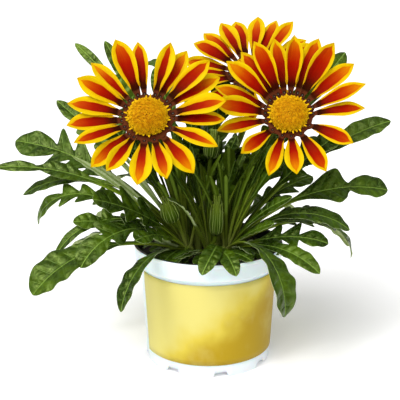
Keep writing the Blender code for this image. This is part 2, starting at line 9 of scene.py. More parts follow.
import bpy
import numpy as np
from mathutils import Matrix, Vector


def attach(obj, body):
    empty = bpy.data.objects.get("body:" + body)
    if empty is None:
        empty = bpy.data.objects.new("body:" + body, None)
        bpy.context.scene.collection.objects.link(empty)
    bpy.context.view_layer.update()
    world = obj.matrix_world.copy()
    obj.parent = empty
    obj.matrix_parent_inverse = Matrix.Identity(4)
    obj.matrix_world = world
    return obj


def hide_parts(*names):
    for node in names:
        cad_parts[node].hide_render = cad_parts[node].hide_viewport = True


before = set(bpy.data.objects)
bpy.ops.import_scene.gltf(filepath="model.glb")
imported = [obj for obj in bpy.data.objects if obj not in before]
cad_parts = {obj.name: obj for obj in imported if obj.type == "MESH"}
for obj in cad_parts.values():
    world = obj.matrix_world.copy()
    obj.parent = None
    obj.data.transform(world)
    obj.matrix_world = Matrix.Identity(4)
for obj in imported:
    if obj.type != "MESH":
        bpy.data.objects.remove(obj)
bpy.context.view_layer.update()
MM = 0.001

# The pot.
# A thin moulded pot of white plastic with a black inside: a wide collar, a tapered wall, and a foot with
# arched notches, with a baffle behind them, round a raised floor.
POT_HEIGHT, RIM_RADIUS, POT_WALL = 96 * MM, 60 * MM, 1.3 * MM
COLLAR_FOOT, WALL_TOP = 82 * MM, 80 * MM
WALL_TOP_RADIUS, FOOT_RADIUS, FLOOR = 54.4 * MM, 50.2 * MM, 5 * MM
NOTCHES, NOTCH_HALF_WIDTH, NOTCH_HEIGHT = 8, 6 * MM, 4.4 * MM
BAFFLE_RADIUS = 44.6 * MM
INSIDE_ROWS = 21


def part(points, quads, tris=(), slot=0, along=0.0, across=0.0, **layers):
    """One part of a piece: its points, faces, material slot, and what its material reads at each point."""
    points = np.asarray(points, float).reshape(-1, 3)
    faces = len(quads) + len(tris)

    def at_each(values):
        """The values, spread over all the points."""
        return np.broadcast_to(np.asarray(values, float).ravel(), (len(points),))

    return {
        "points": points,
        "quads": np.asarray(quads, int).reshape(-1, 4),
        "tris": np.asarray(tris, int).reshape(-1, 3),
        "slot": np.broadcast_to(slot, (faces,)),
        "uv": np.stack([at_each(along), at_each(across)], 1),
        "layers": {name: at_each(values) for name, values in layers.items()},
    }


def make_piece(name, parts, finishes, nodes):
    """One object at the origin from its parts, riding on the pot's body and standing for its CAD nodes."""
    starts = np.cumsum([0] + [len(p["points"]) for p in parts])
    points = np.concatenate([p["points"] for p in parts])
    quads = np.concatenate([p["quads"] + s for p, s in zip(parts, starts)])
    tris = np.concatenate([p["tris"] + s for p, s in zip(parts, starts)])
    slots = [p["slot"][: len(p["quads"])] for p in parts] + [p["slot"][len(p["quads"]):] for p in parts]
    corners = np.concatenate([quads.ravel(), tris.ravel()])
    sizes = np.concatenate([np.full(len(quads), 4), np.full(len(tris), 3)])
    mesh = bpy.data.meshes.new(name)
    mesh.vertices.add(len(points))
    mesh.vertices.foreach_set("co", points.ravel())
    mesh.loops.add(len(corners))
    mesh.loops.foreach_set("vertex_index", corners)
    mesh.polygons.add(len(sizes))
    mesh.polygons.foreach_set("loop_start", np.cumsum(sizes) - sizes)
    mesh.polygons.foreach_set("loop_total", sizes)
    mesh.polygons.foreach_set("material_index", np.concatenate(slots))
    mesh.update(calc_edges=True)
    mesh.polygons.foreach_set("use_smooth", np.ones(len(sizes), bool))
    uv = np.concatenate([p["uv"] for p in parts])
    mesh.uv_layers.new(name="grown").data.foreach_set("uv", uv[corners].ravel())
    for layer in sorted({key for p in parts for key in p["layers"]}):
        values = np.concatenate([p["layers"].get(layer, np.zeros(len(p["points"]))) for p in parts])
        mesh.attributes.new(layer, "FLOAT", "POINT").data.foreach_set("value", values)
    for finish in finishes:
        mesh.materials.append(finish)
    piece = bpy.data.objects.new(name, mesh)
    bpy.context.scene.collection.objects.link(piece)
    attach(piece, "root")
    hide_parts(*nodes)
    return piece


def grid_quads(rows, columns, around=False, along=False):
    """Quads of a grid of points, closed across its columns and along its rows where asked."""
    index = np.arange(rows * columns).reshape(rows, columns)
    if around:
        index = np.hstack([index, index[:, :1]])
    if along:
        index = np.vstack([index, index[:1]])
    return np.stack([index[:-1, :-1], index[:-1, 1:], index[1:, 1:], index[1:, :-1]], -1).reshape(-1, 4)


def eased(corners, ease, closed=True, steps=4):
    """An outline whose corners are each eased by a short parabola that starts and ends the ease away."""
    corners = np.asarray(corners, float)
    before, after = np.roll(corners, 1, 0), np.roll(corners, -1, 0)
    if not closed:
        before[0], after[-1] = corners[0], corners[-1]
    reach = [np.linalg.norm(side - corners, axis=1, keepdims=True) for side in (before, after)]
    start = corners + (before - corners) * np.minimum(0.45, ease / np.maximum(reach[0], 1e-9))
    end = corners + (after - corners) * np.minimum(0.45, ease / np.maximum(reach[1], 1e-9))
    t = np.linspace(0, 1, steps)[None, :, None]
    curve = start[:, None] * (1 - t) ** 2 + corners[:, None] * 2 * t * (1 - t) + end[:, None] * t**2
    return curve.reshape(-1, corners.shape[1])


class Nodes:
    """A material's node tree, built by short calls: each returns the socket that it makes."""

    def __init__(self, name, **constants):
        """A named material, with each constant set on its shader's own socket."""
        self.material = bpy.data.materials.new(name)
        self.material.use_nodes = True
        self.tree = self.material.node_tree
        self.shader = self.tree.nodes["Principled BSDF"]
        for socket, value in constants.items():
            self.shader.inputs[self.socket_name(socket)].default_value = value

    def socket_name(self, word):
        """The shader's own name of a socket, from its name in small letters."""
        return word.replace("_", " ").title().replace("Ior", "IOR")

    def node(self, kind, output, sources=(), **settings):
        """A node of a kind, its settings, its inputs by name or place, and the output asked for."""
        made = self.tree.nodes.new("ShaderNode" + kind)
        for key, value in settings.items():
            setattr(made, key, value)
        for place, source in dict(sources).items():
            socket = made.inputs[place]
            if isinstance(source, bpy.types.NodeSocket):
                self.tree.links.new(source, socket)
            else:
                socket.default_value = source
        return made.outputs[output]

    def place(self):
        """The point's place in the object's own frame."""
        return self.node("TexCoord", "Object")

    def layer(self, name):
        """A value that the mesh carries at each point."""
        return self.node("Attribute", "Fac", attribute_name=name)

    def grown(self):
        """Where a point lies on its blade: along it from 0 to 1, and across it from -1 to 1."""
        split = self.tree.nodes.new("ShaderNodeSeparateXYZ")
        self.tree.links.new(self.node("UVMap", "UV", uv_map="grown"), split.inputs[0])
        return split.outputs[0], split.outputs[1]

    def point(self, *values):
        """A point from its coordinates, for a pattern to be read at."""
        return self.node("CombineXYZ", 0, dict(enumerate(values)))

    def maths(self, operation, a, b=0.0):
        """One sum on one or two values."""
        return self.node("Math", 0, {0: a, 1: b}, operation=operation)

    def times(self, a, b):
        """The product of two values."""
        return self.maths("MULTIPLY", a, b)

    def plus(self, a, b):
        """The sum of two values."""
        return self.maths("ADD", a, b)

    def minus(self, a, b):
        """The first value less the second."""
        return self.maths("SUBTRACT", a, b)

    def ease(self, value, low, high, to_low=0.0, to_high=1.0):
        """The value eased from one pair of limits to another, and held there beyond them."""
        limits = {1: low, 2: high, 3: to_low, 4: to_high}
        return self.node("MapRange", 0, {0: value, **limits}, interpolation_type="SMOOTHSTEP")

    def noise(self, scale, detail=3.0, rough=0.55, at=None):
        """Cloudy noise, so many clouds to the metre, at the object's own points or at the ones given."""
        sources = {"Vector": at or self.place(), "Scale": scale, "Detail": detail, "Roughness": rough}
        return self.node("TexNoise", 0, sources)

    def mix(self, share, a, b, way="MIX"):
        """Two colours, the second laid over the first by its share."""
        a, b = ((*colour, 1.0) if isinstance(colour, tuple) else colour for colour in (a, b))
        return self.node("Mix", 2, {0: share, 6: a, 7: b}, data_type="RGBA", blend_type=way)

    def ramp(self, value, *stops):
        """A colour for each place from 0 to 1, blended between the stops."""
        output = self.node("ValToRGB", 0, {0: value})
        band = output.node.color_ramp
        for place, colour in stops[1:-1]:
            band.elements.new(place).color = (*colour, 1.0)
        for element, (place, colour) in ((band.elements[0], stops[0]), (band.elements[-1], stops[-1])):
            element.position, element.color = place, (*colour, 1.0)
        return output

    def bump(self, height, depth):
        """The normal of a relief, so many metres deep."""
        return self.node("Bump", 0, {"Height": height, "Distance": depth, "Strength": 1.0})

    def finish(self, **sources):
        """The material, once its shader's sockets are joined to what drives them."""
        for socket, source in sources.items():
            self.tree.links.new(source, self.shader.inputs[self.socket_name(socket)])
        return self.material


def turns(count):
    """Even angles round a full turn."""
    return np.arange(count) * 2 * np.pi / count


def wheel(radius, turn, height):
    """Points from a radius, an angle and a height about the upright axis, each a number or a grid."""
    return np.stack(np.broadcast_arrays(radius * np.cos(turn), radius * np.sin(turn), height), -1)


def wall_radius(height):
    """The outer radius of the tapered wall at a height."""
    return FOOT_RADIUS + (WALL_TOP_RADIUS - FOOT_RADIUS) * height / WALL_TOP


def pot_outline():
    """The pot's section as (radius, height): down the outside, under the floor, and up the inside."""
    skirt = FOOT_RADIUS - 2 * POT_WALL
    collar_inside = RIM_RADIUS - 1.2 * MM - POT_WALL
    return [
        (RIM_RADIUS - 0.5 * MM, POT_HEIGHT),
        (RIM_RADIUS, POT_HEIGHT - 0.8 * MM),
        (RIM_RADIUS - 0.1 * MM, POT_HEIGHT - 2.6 * MM),
        (RIM_RADIUS - 0.5 * MM, POT_HEIGHT - 3.0 * MM),
        (RIM_RADIUS - 1.0 * MM, COLLAR_FOOT + 0.6 * MM),
        (RIM_RADIUS - 1.4 * MM, COLLAR_FOOT - 0.2 * MM),
        (wall_radius(WALL_TOP) + 0.8 * MM, WALL_TOP + 0.4 * MM),
        (wall_radius(WALL_TOP), WALL_TOP - 1.2 * MM),
        (wall_radius(6.5 * MM) + 0.05 * MM, 9.5 * MM),
        (wall_radius(5.5 * MM) + 0.5 * MM, 8.6 * MM),
        (wall_radius(0) + 0.35 * MM, 0),
        (skirt, 0),
        (skirt, FLOOR),
        (BAFFLE_RADIUS + 0.6 * MM, FLOOR),
        (BAFFLE_RADIUS + 0.6 * MM, 0.3 * MM),
        (BAFFLE_RADIUS - 0.6 * MM, 0.3 * MM),
        (BAFFLE_RADIUS - 0.6 * MM, FLOOR),
        (5 * MM, FLOOR),
        (5 * MM, FLOOR + POT_WALL),
        (wall_radius(FLOOR) - 2 * POT_WALL, FLOOR + POT_WALL),
        (wall_radius(FLOOR) - POT_WALL, FLOOR + 2.2 * POT_WALL),
        (wall_radius(WALL_TOP) - POT_WALL, WALL_TOP + 0.8 * POT_WALL),
        (collar_inside, COLLAR_FOOT + POT_WALL),
        (collar_inside, POT_HEIGHT - 2.5 * MM),
        (RIM_RADIUS - 2.6 * MM, POT_HEIGHT - 0.3 * MM),
    ]


def make_pot():
    """The section carried round the axis, closed on itself.

    The foot's points are lifted to the arch of each notch, square shouldered like a superellipse, and
    those of the baffle behind it to the same arches, halfway between the notches.
    """
    section = eased(pot_outline(), 0.45 * MM, steps=3)
    around = 320
    turn = turns(around)
    spacing = 2 * np.pi / NOTCHES
    off_notch = (turn - spacing / 4 + spacing / 2) % spacing - spacing / 2
    share = np.clip(1 - np.abs(off_notch * FOOT_RADIUS / NOTCH_HALF_WIDTH) ** 5, 0, 1)
    arch = NOTCH_HEIGHT * np.sqrt(share)
    inner_arch = np.roll(arch, around // NOTCHES // 2)
    radius, height = section[:, :1], section[:, 1:]
    lifted = np.where(radius > BAFFLE_RADIUS + 0.5 * MM, np.maximum(height, arch), height)
    lifted = np.where(abs(radius - BAFFLE_RADIUS) < MM, np.maximum(height, inner_arch), lifted)
    rows = len(section)
    quads = grid_quads(rows, around, around=True, along=True)[:, ::-1]
    inside = np.arange(rows) >= rows - INSIDE_ROWS
    dark = np.repeat(inside | (section[:, 1] > POT_HEIGHT - 0.3 * MM), around)
    return part(wheel(radius, turn, lifted), quads, slot=np.where(dark, 1, 0))


pot_white = Nodes(
    "pot_white", subsurface_weight=0.4, subsurface_scale=0.01, coat_weight=0.15, coat_roughness=0.3
)
shade = pot_white.noise(18.0, 4.0)
upright = pot_white.node("Mapping", 0, {"Vector": pot_white.place(), "Scale": (220.0, 220.0, 9.0)})
streaks = pot_white.noise(1.0, 2.0, at=upright)
white_base = pot_white.mix(pot_white.ease(shade, 0.35, 0.7), (0.73, 0.76, 0.80), (0.81, 0.825, 0.86))
white_body = pot_white.mix(pot_white.ease(streaks, 0.55, 0.75, 0.0, 0.25), white_base, (0.64, 0.70, 0.77))
pot_white_finish = pot_white.finish(
    base_color=white_body,
    roughness=pot_white.ease(shade, 0.2, 0.8, 0.26, 0.42),
    normal=pot_white.bump(pot_white.noise(60.0, 3.0), 0.00012),
)
pot_black = Nodes("pot_black_inside", roughness=0.4)
dust = pot_black.noise(70.0, 5.0)
pot_black_finish = pot_black.finish(
    base_color=pot_black.mix(pot_black.ease(dust, 0.5, 0.75), (0.012, 0.012, 0.013), (0.05, 0.042, 0.034)),
    roughness=pot_black.ease(dust, 0.3, 0.7, 0.3, 0.7),
    normal=pot_black.bump(dust, 0.0002),
)
make_piece("pot_shell", [make_pot()], [pot_white_finish, pot_black_finish], ["pot"])

# The label.
# A thin printed film wrapped round the wall, pale yellow that deepens to gold low down and to the right,
# partly its print and partly painted shade on the side away from the light, with soft cloudy patches.
# It stops short of itself, so a strip of the white wall shows.
LABEL_LOW, LABEL_HIGH = 10.5 * MM, 77.5 * MM
LABEL_START, LABEL_SWEEP = 202, 330
LABEL_CLEAR, FILM = 0.32 * MM, 0.4 * MM


def unit(vectors):
    """The vectors at length one."""
    return vectors / np.maximum(np.linalg.norm(vectors, axis=-1, keepdims=True), 1e-15)


def closed_sheet(middle, up, down, back=1, **facts):
    """A thin closed solid round a grid of points.

    Each point goes up and down along the surface's normal by its two thicknesses, and the two sheets are
    joined round the grid's rim. The under side and the rim have the material slot called back.
    """
    normal = unit(np.cross(np.gradient(middle, axis=0), np.gradient(middle, axis=1)))
    rows, columns = middle.shape[:2]
    top = middle + normal * np.broadcast_to(up, (rows, columns))[..., None]
    bottom = middle - normal * np.broadcast_to(down, (rows, columns))[..., None]
    quads = grid_quads(rows, columns)[:, ::-1]
    index = np.arange(rows * columns).reshape(rows, columns)
    rim = np.concatenate([index[:, 0], index[-1, 1:], index[-2::-1, -1], index[0, -2::-1]])
    here, there = rim[:-1], rim[1:]
    count = rows * columns
    edge = np.stack([here, here + count, there + count, there], 1)
    slot = np.concatenate([np.zeros(len(quads), int), np.full(len(quads) + len(edge), back)])
    twice = {key: np.tile(np.broadcast_to(v, (rows, columns)).ravel(), 2) for key, v in facts.items()}
    points = np.concatenate([top.reshape(-1, 3), bottom.reshape(-1, 3)])
    return part(points, np.concatenate([quads, quads[:, ::-1] + count, edge]), slot=slot, **twice)


def make_label():
    """The wall's taper over a heading and a height, a hair clear of the wall."""
    share = np.linspace(0, 1, 200)[:, None]
    up = np.linspace(0, 1, 14)[None, :]
    heading = np.radians(LABEL_START + LABEL_SWEEP * share)
    height = LABEL_LOW + (LABEL_HIGH - LABEL_LOW) * up
    middle = wheel(wall_radius(height) + LABEL_CLEAR + 0.5 * FILM, heading, height)
    return closed_sheet(middle, 0.5 * FILM, 0.5 * FILM, back=0, along=share, across=up)


label = Nodes("label_film", roughness=0.45, specular_ior_level=0.2)
run, rise = label.grown()
flow = label.point(label.times(run, 5.2), rise)
cloud = label.noise(1.6, 3.0, 0.5, at=flow)
wisp = label.noise(4.2, 4.0, 0.6, at=flow)
# Deeper gold towards the right and low down: partly the print, partly painted shade away from the light.
there_and_back = label.maths("PINGPONG", run, 0.42)
print_and_painted_shade_slope = label.minus(label.times(there_and_back, 3.6), label.times(rise, 1.1))
depth = label.ease(label.plus(print_and_painted_shade_slope, label.times(cloud, 0.9)), 0.35, 1.15)
golden = label.ramp(
    depth,
    (0.0, (0.64, 0.565, 0.16)),
    (0.45, (0.59, 0.465, 0.050)),
    (1.0, (0.39, 0.255, 0.0005)),
)
patchy = label.ease(label.plus(cloud, label.times(wisp, 0.35)), 0.66, 0.90, 0.0, 0.30)
label_finish = label.finish(
    base_color=label.mix(patchy, golden, (0.62, 0.56, 0.20)),
    normal=label.bump(label.noise(30.0, 2.0), 0.0001),
)
make_piece("pot_label_film", [make_label()], [label_finish], ["pot_label"])

# The potting mix.
# Damp dark peat with bark crumbs, filling the pot to a finger's width under the rim. The peat is painted
# darker than its own colour, as shade down inside the pot.
SOIL_TOP, SOIL_LUMP, CRUMBS = 86 * MM, 1.1 * MM, 1500
SOIL_RADIUS = RIM_RADIUS - 1.2 * MM - POT_WALL - 0.3 * MM


def soil_height(x, y):
    """The lie of the soil: a sum of crossed waves of unlike lengths, with finer grit on top."""
    lumps = random.Random(4)
    waves = [(lumps.uniform(90, 420), lumps.uniform(0, 7), lumps.uniform(0, 7)) for _ in range(7)]
    rough = sum(np.sin(f * x + a) * np.cos(f * y + b) for f, a, b in waves)
    grit = np.sin(1900 * x + 3 * np.sin(700 * y)) * np.cos(1700 * y + 3 * np.sin(900 * x))
    return SOIL_TOP + SOIL_LUMP * rough / 3 + 0.35 * MM * grit


def closed_rings(rings, along=0.0, **facts):
    """A skin over rows of rings, each end closed by a fan on its own middle point.

    Seen from outside, the rings are numbered anticlockwise round the way from the first to the last.
    """
    rows, around = rings.shape[:2]
    first = np.arange(around)
    last = first + (rows - 1) * around
    fans = np.concatenate([
        np.stack([np.full(around, rows * around), np.roll(first, -1), first], 1),
        np.stack([np.full(around, rows * around + 1), last, np.roll(last, -1)], 1),
    ])
    along = np.broadcast_to(along, rows)
    along = np.append(np.repeat(along, around), along[[0, -1]])
    points = np.concatenate([rings.reshape(-1, 3), rings[[0, -1]].mean(1)])
    return part(points, grid_quads(rows, around, around=True), fans, along=along, **facts)


def make_soil_bed():
    """Rings from the floor of the pot up its inside to the wall's top, and in to the middle of the soil."""
    inset = POT_WALL + 0.3 * MM
    around = 180
    spread = np.linspace(0.004, 1, 60)[:, None] * SOIL_RADIUS
    turn = turns(around)
    lie = soil_height(spread * np.cos(turn), spread * np.sin(turn)) - SOIL_TOP
    edge = np.clip((SOIL_RADIUS - spread) / (4 * MM), 0, 1)
    top = wheel(spread, turn, SOIL_TOP + lie * edge)
    side = [
        (SOIL_RADIUS, COLLAR_FOOT + POT_WALL + 0.3 * MM),
        (wall_radius(WALL_TOP) - inset, WALL_TOP + 0.8 * POT_WALL + 0.3 * MM),
        (wall_radius(FLOOR + 2 * POT_WALL) - inset, FLOOR + 2.2 * POT_WALL + 0.3 * MM),
        (wall_radius(FLOOR) - 2 * POT_WALL - 0.3 * MM, FLOOR + POT_WALL + 0.3 * MM),
        (0.2 * MM, FLOOR + POT_WALL + 0.3 * MM),
    ]
    low = [wheel(radius, turn, height) for radius, height in side]
    rings = np.concatenate([top, low])[::-1]
    return closed_rings(rings)


def copies(shape_points, shape_quads, frames, spots, slot=0, **layers):
    """A small shape copied to many places: its points turned and sized by each frame, then moved there."""
    count, size = len(spots), len(shape_points)
    points = np.einsum("nij,vj->nvi", frames, shape_points) + spots[:, None]
    quads = shape_quads[None] + (np.arange(count) * size)[:, None, None]
    each = {key: np.repeat(v, size) if len(v) == count else np.tile(v, count) for key, v in layers.items()}
    return part(points, quads.reshape(-1, 4), slot=slot, **each)


def make_crumbs():
    """Bark and peat crumbs: little six-sided blocks, each stretched and turned its own way."""
    draw = np.random.default_rng(11)
    corner = np.array([[x, y, z] for x in (-1, 1) for y in (-1, 1) for z in (-1, 1)], float)
    corner *= draw.uniform(0.7, 1.1, corner.shape)
    sides = np.array([[0, 1, 3, 2], [4, 6, 7, 5], [0, 4, 5, 1], [2, 3, 7, 6], [0, 2, 6, 4], [1, 5, 7, 3]])
    spread = 0.965 * SOIL_RADIUS * np.sqrt(draw.uniform(0.01, 1, CRUMBS))
    turn = draw.uniform(0, 2 * np.pi, CRUMBS)
    x, y = spread * np.cos(turn), spread * np.sin(turn)
    size = 0.45 * MM * draw.lognormal(0, 0.5, (CRUMBS, 1)) * np.array([[1.5, 0.9, 0.5]])
    size = np.minimum(size, 2.4 * MM)
    axes = np.linalg.qr(draw.normal(size=(CRUMBS, 3, 3)))[0]
    spots = np.stack([x, y, soil_height(x, y) + 0.25 * size[:, 2]], 1)
    return copies(corner, sides, axes * size[:, None, :], spots, tone=draw.uniform(0, 1, CRUMBS))


soil = Nodes("potting_mix", roughness=0.95)
peat = soil.noise(160.0, 6.0, 0.7)
# The peat's colours are darkened past their own: painted shade inside the pot.
peat_with_painted_shade = soil.mix(soil.ease(peat, 0.35, 0.7), (0.006, 0.004, 0.003), (0.028, 0.018, 0.011))
bark_colour = soil.ramp(
    soil.layer("tone"),
    (0.0, (0.008, 0.006, 0.004)),
    (0.7, (0.03, 0.02, 0.012)),
    (0.93, (0.12, 0.075, 0.04)),
    (1.0, (0.30, 0.24, 0.17)),
)
soil_finish = soil.finish(
    base_color=soil.mix(soil.maths("GREATER_THAN", soil.layer("tone"), 0.001), peat_with_painted_shade, bark_colour),
    normal=soil.bump(peat, 0.0008),
)
make_piece("potting_mix", [make_soil_bed(), make_crumbs()], [soil_finish], ["soil"])

# The leafy shoots.
# Fleshy shoots that stand in the soil on one ring, each with its leaves: dark glossy green above with a
# pale midrib, woolly grey-green below, plain or cut into forward lobes, on slim channelled petioles. Their
# groove is only painted, lighter towards its edges as painted highlight on its rims, and a painted
# highlight runs down the crest of each rounded back.
SHOOT_RING, SHOOT_RADIUS, SHOOT_TOP = 18 * MM, 5.2 * MM, 97 * MM
LEAF_ROOT, ROOT_DEPTH = 92 * MM, 10 * MM
LOBED_SHARE, LOBE_NECK = 0.56, 0.16
VEINS, PUFF = 8, 1.25 * MM
# Leaves that rise steeper than this, in degrees, have green backs instead of woolly ones.
WOOLLY_RISE = 68

# The petiole's half width, the highest tone that a leaf can have, and how many points run along its
# petiole, along its blade and across it: for the leaves listed below, and for the younger ones. The younger
# leaves have a lower cap, which darkens them as painted shade where they crowd the middle.
Growth = namedtuple("Growth", "stem_half brightest stem_rows blade_rows columns")

FULL_GROWN = Growth(2.1 * MM, 1.0, 12, 58, 17)
YOUNGER = Growth(1.45 * MM, 0.8, 8, 34, 13)

# heading and turn: plan direction at the root and how far it swings, in degrees.
# rise and fall: angle over the horizon at the root and at the tip. bend: how late the leaf arches over.
# length and half_width in millimetres, lobes a side, roll in degrees, and the share that is petiole.
Leaf = namedtuple("Leaf", "heading turn rise fall bend length half_width lobes roll petiole")

SHOOT_HEADINGS = {
    "shoot_front_left": 207,
    "shoot_left": 172,
    "shoot_back_left": 137,
    "shoot_back": 92,
    "shoot_back_right": 50,
    "shoot_right": 5,
    "shoot_front_right": -38,
    "shoot_front": -85,
}

LEAVES = {
    "shoot_front_left": [
        Leaf(207, 6, 22, -48, 1.5, 138, 13.5, 0, -22, 0.42),
        Leaf(217, 4, 42, -56, 1.5, 112, 15, 2, -24, 0.35),
        Leaf(191, 12, 42, -66, 1.5, 124, 3.5, 0, -30, 0.40),
        Leaf(237, 2, 24, -72, 1.5, 103, 7.2, 0, 12, 0.30),
        Leaf(213, -4, 50, 16, 1.0, 96, 17, 2, -34, 0.35),
        Leaf(226, 0, 14, 38, 1.0, 42, 4, 0, 20, 0.30),
        Leaf(197, -4, 38, 0, 1.0, 96, 10, 2, -40, 0.45),
        Leaf(228, 8, 42, -6, 1.2, 66, 11, 2, -30, 0.35),
        Leaf(198, 0, 74, 50, 1.0, 92, 5, 0, -40, 0.60),
    ],
    "shoot_left": [
        Leaf(181, -8, 36, -86, 3.0, 144, 11, 3, -30, 0.45),
        Leaf(171, 8, 49, -6, 1.0, 172, 7, 1, -40, 0.52),
        Leaf(161, 2, 50, 3, 1.0, 172, 19, 3, -42, 0.48),
        Leaf(176, 2, 24, -62, 1.6, 112, 10, 0, 10, 0.40),
        Leaf(170, 4, 60, -34, 1.1, 156, 6, 0, -30, 0.55),
        Leaf(166, 0, 66, 44, 1.0, 138, 14, 2, -45, 0.55),
        Leaf(152, 0, 78, 58, 1.0, 128, 8, 0, -50, 0.60),
    ],
    "shoot_back_left": [
        Leaf(152, -6, 46, 30, 1.0, 174, 9, 2, -35, 0.55),
        Leaf(143, 4, 72, 32, 1.0, 200, 3.6, 0, -52, 0.72),
        Leaf(142, 4, 67, 54, 1.0, 180, 4.2, 0, -44, 0.68),
        Leaf(140, -6, 28, -52, 1.5, 128, 12, 2, 8, 0.40),
        Leaf(122, 4, 44, -30, 1.4, 132, 10, 0, -8, 0.42),
        Leaf(158, 0, 74, 50, 1.0, 150, 13, 2, -50, 0.52),
        Leaf(128, 0, 80, 64, 1.0, 148, 8, 0, -36, 0.60),
    ],
    "shoot_back": [
        Leaf(110, 12, 86, -14, 1.6, 208, 7, 0, -14, 0.66),
        Leaf(96, -4, 36, -52, 1.5, 128, 12, 0, 6, 0.40),
        Leaf(82, 6, 56, -20, 1.4, 140, 15, 3, -6, 0.42),
        Leaf(104, 5, 24, -66, 1.6, 108, 10, 0, -10, 0.38),
        Leaf(100, 0, 76, 40, 1.1, 150, 13, 2, -20, 0.50),
        Leaf(74, 0, 80, 62, 1.0, 140, 12, 2, 25, 0.50),
        Leaf(96, 0, 86, 74, 1.0, 120, 8, 0, -20, 0.60),
    ],
    "shoot_back_right": [
        Leaf(32, -3, 58, 44, 1.0, 192, 8, 0, 56, 0.64),
        Leaf(52, 5, 30, -52, 1.5, 126, 12, 2, 8, 0.40),
        Leaf(66, 4, 46, -28, 1.4, 134, 11, 0, -8, 0.42),
        Leaf(40, -4, 52, 0, 1.3, 146, 15, 3, 34, 0.46),
        Leaf(30, 0, 70, 40, 1.0, 150, 13, 2, 44, 0.52),
        Leaf(24, 0, 44, 8, 1.2, 96, 10, 2, 30, 0.45),
    ],
    "shoot_right": [
        Leaf(12, -2, 60, 14, 1.0, 168, 9, 0, 34, 0.56),
        Leaf(-1, 0, 50, -12, 1.1, 138, 17, 1, 34, 0.47),
        Leaf(-10, 12, 28, -96, 2.4, 118, 9, 2, 10, 0.42),
        Leaf(17, 4, 28, -58, 1.5, 118, 10, 0, -8, 0.40),
        Leaf(2, 0, 60, 34, 1.0, 128, 14, 2, 44, 0.50),
        Leaf(4, 0, 38, -30, 1.3, 92, 12, 2, 30, 0.40),
        Leaf(-8, 0, 74, 54, 1.0, 88, 7, 0, 50, 0.60),
    ],
    "shoot_front_right": [
        Leaf(-18, 16, 54, -40, 1.3, 110, 8, 0, 26, 0.38),
        Leaf(-40, 0, 26, -34, 1.3, 90, 6, 0, 30, 0.35),
        Leaf(-60, 2, 36, -98, 1.3, 108, 11, 0, -14, 0.30),
        Leaf(-34, 10, 62, 26, 1.0, 76, 4, 0, 45, 0.40),
        Leaf(-52, 0, 44, 22, 1.0, 64, 4, 0, 40, 0.35),
        Leaf(-26, 6, 70, 52, 1.0, 96, 4, 0, 50, 0.50),
        Leaf(-24, 8, 30, -16, 1.4, 84, 12, 2, 26, 0.35),
        Leaf(-8, 0, 76, 62, 1.0, 92, 4, 0, 45, 0.60),
    ],
    "shoot_front": [
        Leaf(-66, -64, 50, -56, 1.2, 65, 6, 0, -16, 0.25),
        Leaf(-74, 4, 30, -44, 1.5, 62, 5.6, 0, 14, 0.25),
        Leaf(-130, 2, 10, 0, 1.0, 36, 4.5, 0, 15, 0.25),
        Leaf(-124, 6, 58, 18, 2.0, 86, 3.5, 0, -30, 0.45),
        Leaf(32, 0, 77, 70, 1.0, 74, 8, 2, 10, 0.40),
        Leaf(-150, 0, 74, 50, 1.0, 96, 3, 0, -40, 0.60),
    ],
}


def direction(heading, tilt):
    """Unit vectors at a plan heading and an angle over the horizon, both in degrees."""
    a, e = np.radians(heading), np.radians(tilt)
    return np.stack(np.broadcast_arrays(np.cos(e) * np.cos(a), np.cos(e) * np.sin(a), np.sin(e)), -1)


def smooth(value, low, high):
    """0 up to low, 1 from high on, and an eased step between."""
    t = np.clip((value - low) / (high - low), 0, 1)
    return t * t * (3 - 2 * t)


def rolled(along, heading, roll):
    """(along, side, face) of a blade's midline: its level side, rolled about the way along by an angle."""
    level, roll = direction(heading + 90, 0), roll[:, None]
    side = level * np.cos(roll) + np.cross(along, level) * np.sin(roll)
    return along, side, np.cross(along, side)


def running_line(root, toward, shares, length, steps):
    """Points at shares of a line's length: the running sum of its direction, in short even steps."""
    fine = np.linspace(0, 1, steps + 1)
    moves = toward(0.5 * (fine[1:] + fine[:-1])) * length / steps
    line = np.vstack([np.zeros(3), np.cumsum(moves, 0)])
    return root + np.stack([np.interp(shares, fine, line[:, k]) for k in range(3)], 1)


def crossed(midline, axes, out, forward, lift):
    """A grid of points: each row crosses the midline, moved out, forward and up by its own amounts."""
    along, side, face = axes
    points = midline[:, None]
    for axis, amount in ((side, out), (along, forward), (face, lift)):
        points = points + axis[:, None] * amount[..., None]
    return points


def leaf_frame(leaf, s):
    """(along, side, face) of the leaf at shares s of its length: it swings and arches as it grows, and
    rolls about its own midrib until its blade begins."""
    heading = leaf.heading + leaf.turn * s
    along = direction(heading, leaf.rise + (leaf.fall - leaf.rise) * s**leaf.bend)
    return rolled(along, heading, np.radians(leaf.roll) * np.minimum(1.0, s / leaf.petiole))


def blade_width(u, lobes):
    """The blade's half width at u, as a share of its full half width.

    A plain blade is a sine that peaks at two thirds of its length. A lobed one swells once for each
    lobe, and then once more for its end lobe.
    """
    u = np.clip(u, 0, 1)
    if not lobes:
        return np.sin(np.pi * u**1.6) ** 0.75
    swell = (0.5 - 0.5 * np.cos(2 * np.pi * lobes * u / LOBED_SHARE)) ** 0.8
    cut = LOBE_NECK + swell * (0.55 + 0.4 * u / LOBED_SHARE)
    t = np.clip((u - LOBED_SHARE) / (1 - LOBED_SHARE), 0, 1)
    end = LOBE_NECK * (1 - t) + 0.54 * np.sin(np.pi * t**0.85) ** 0.7
    return np.where(u <= LOBED_SHARE, cut, end)


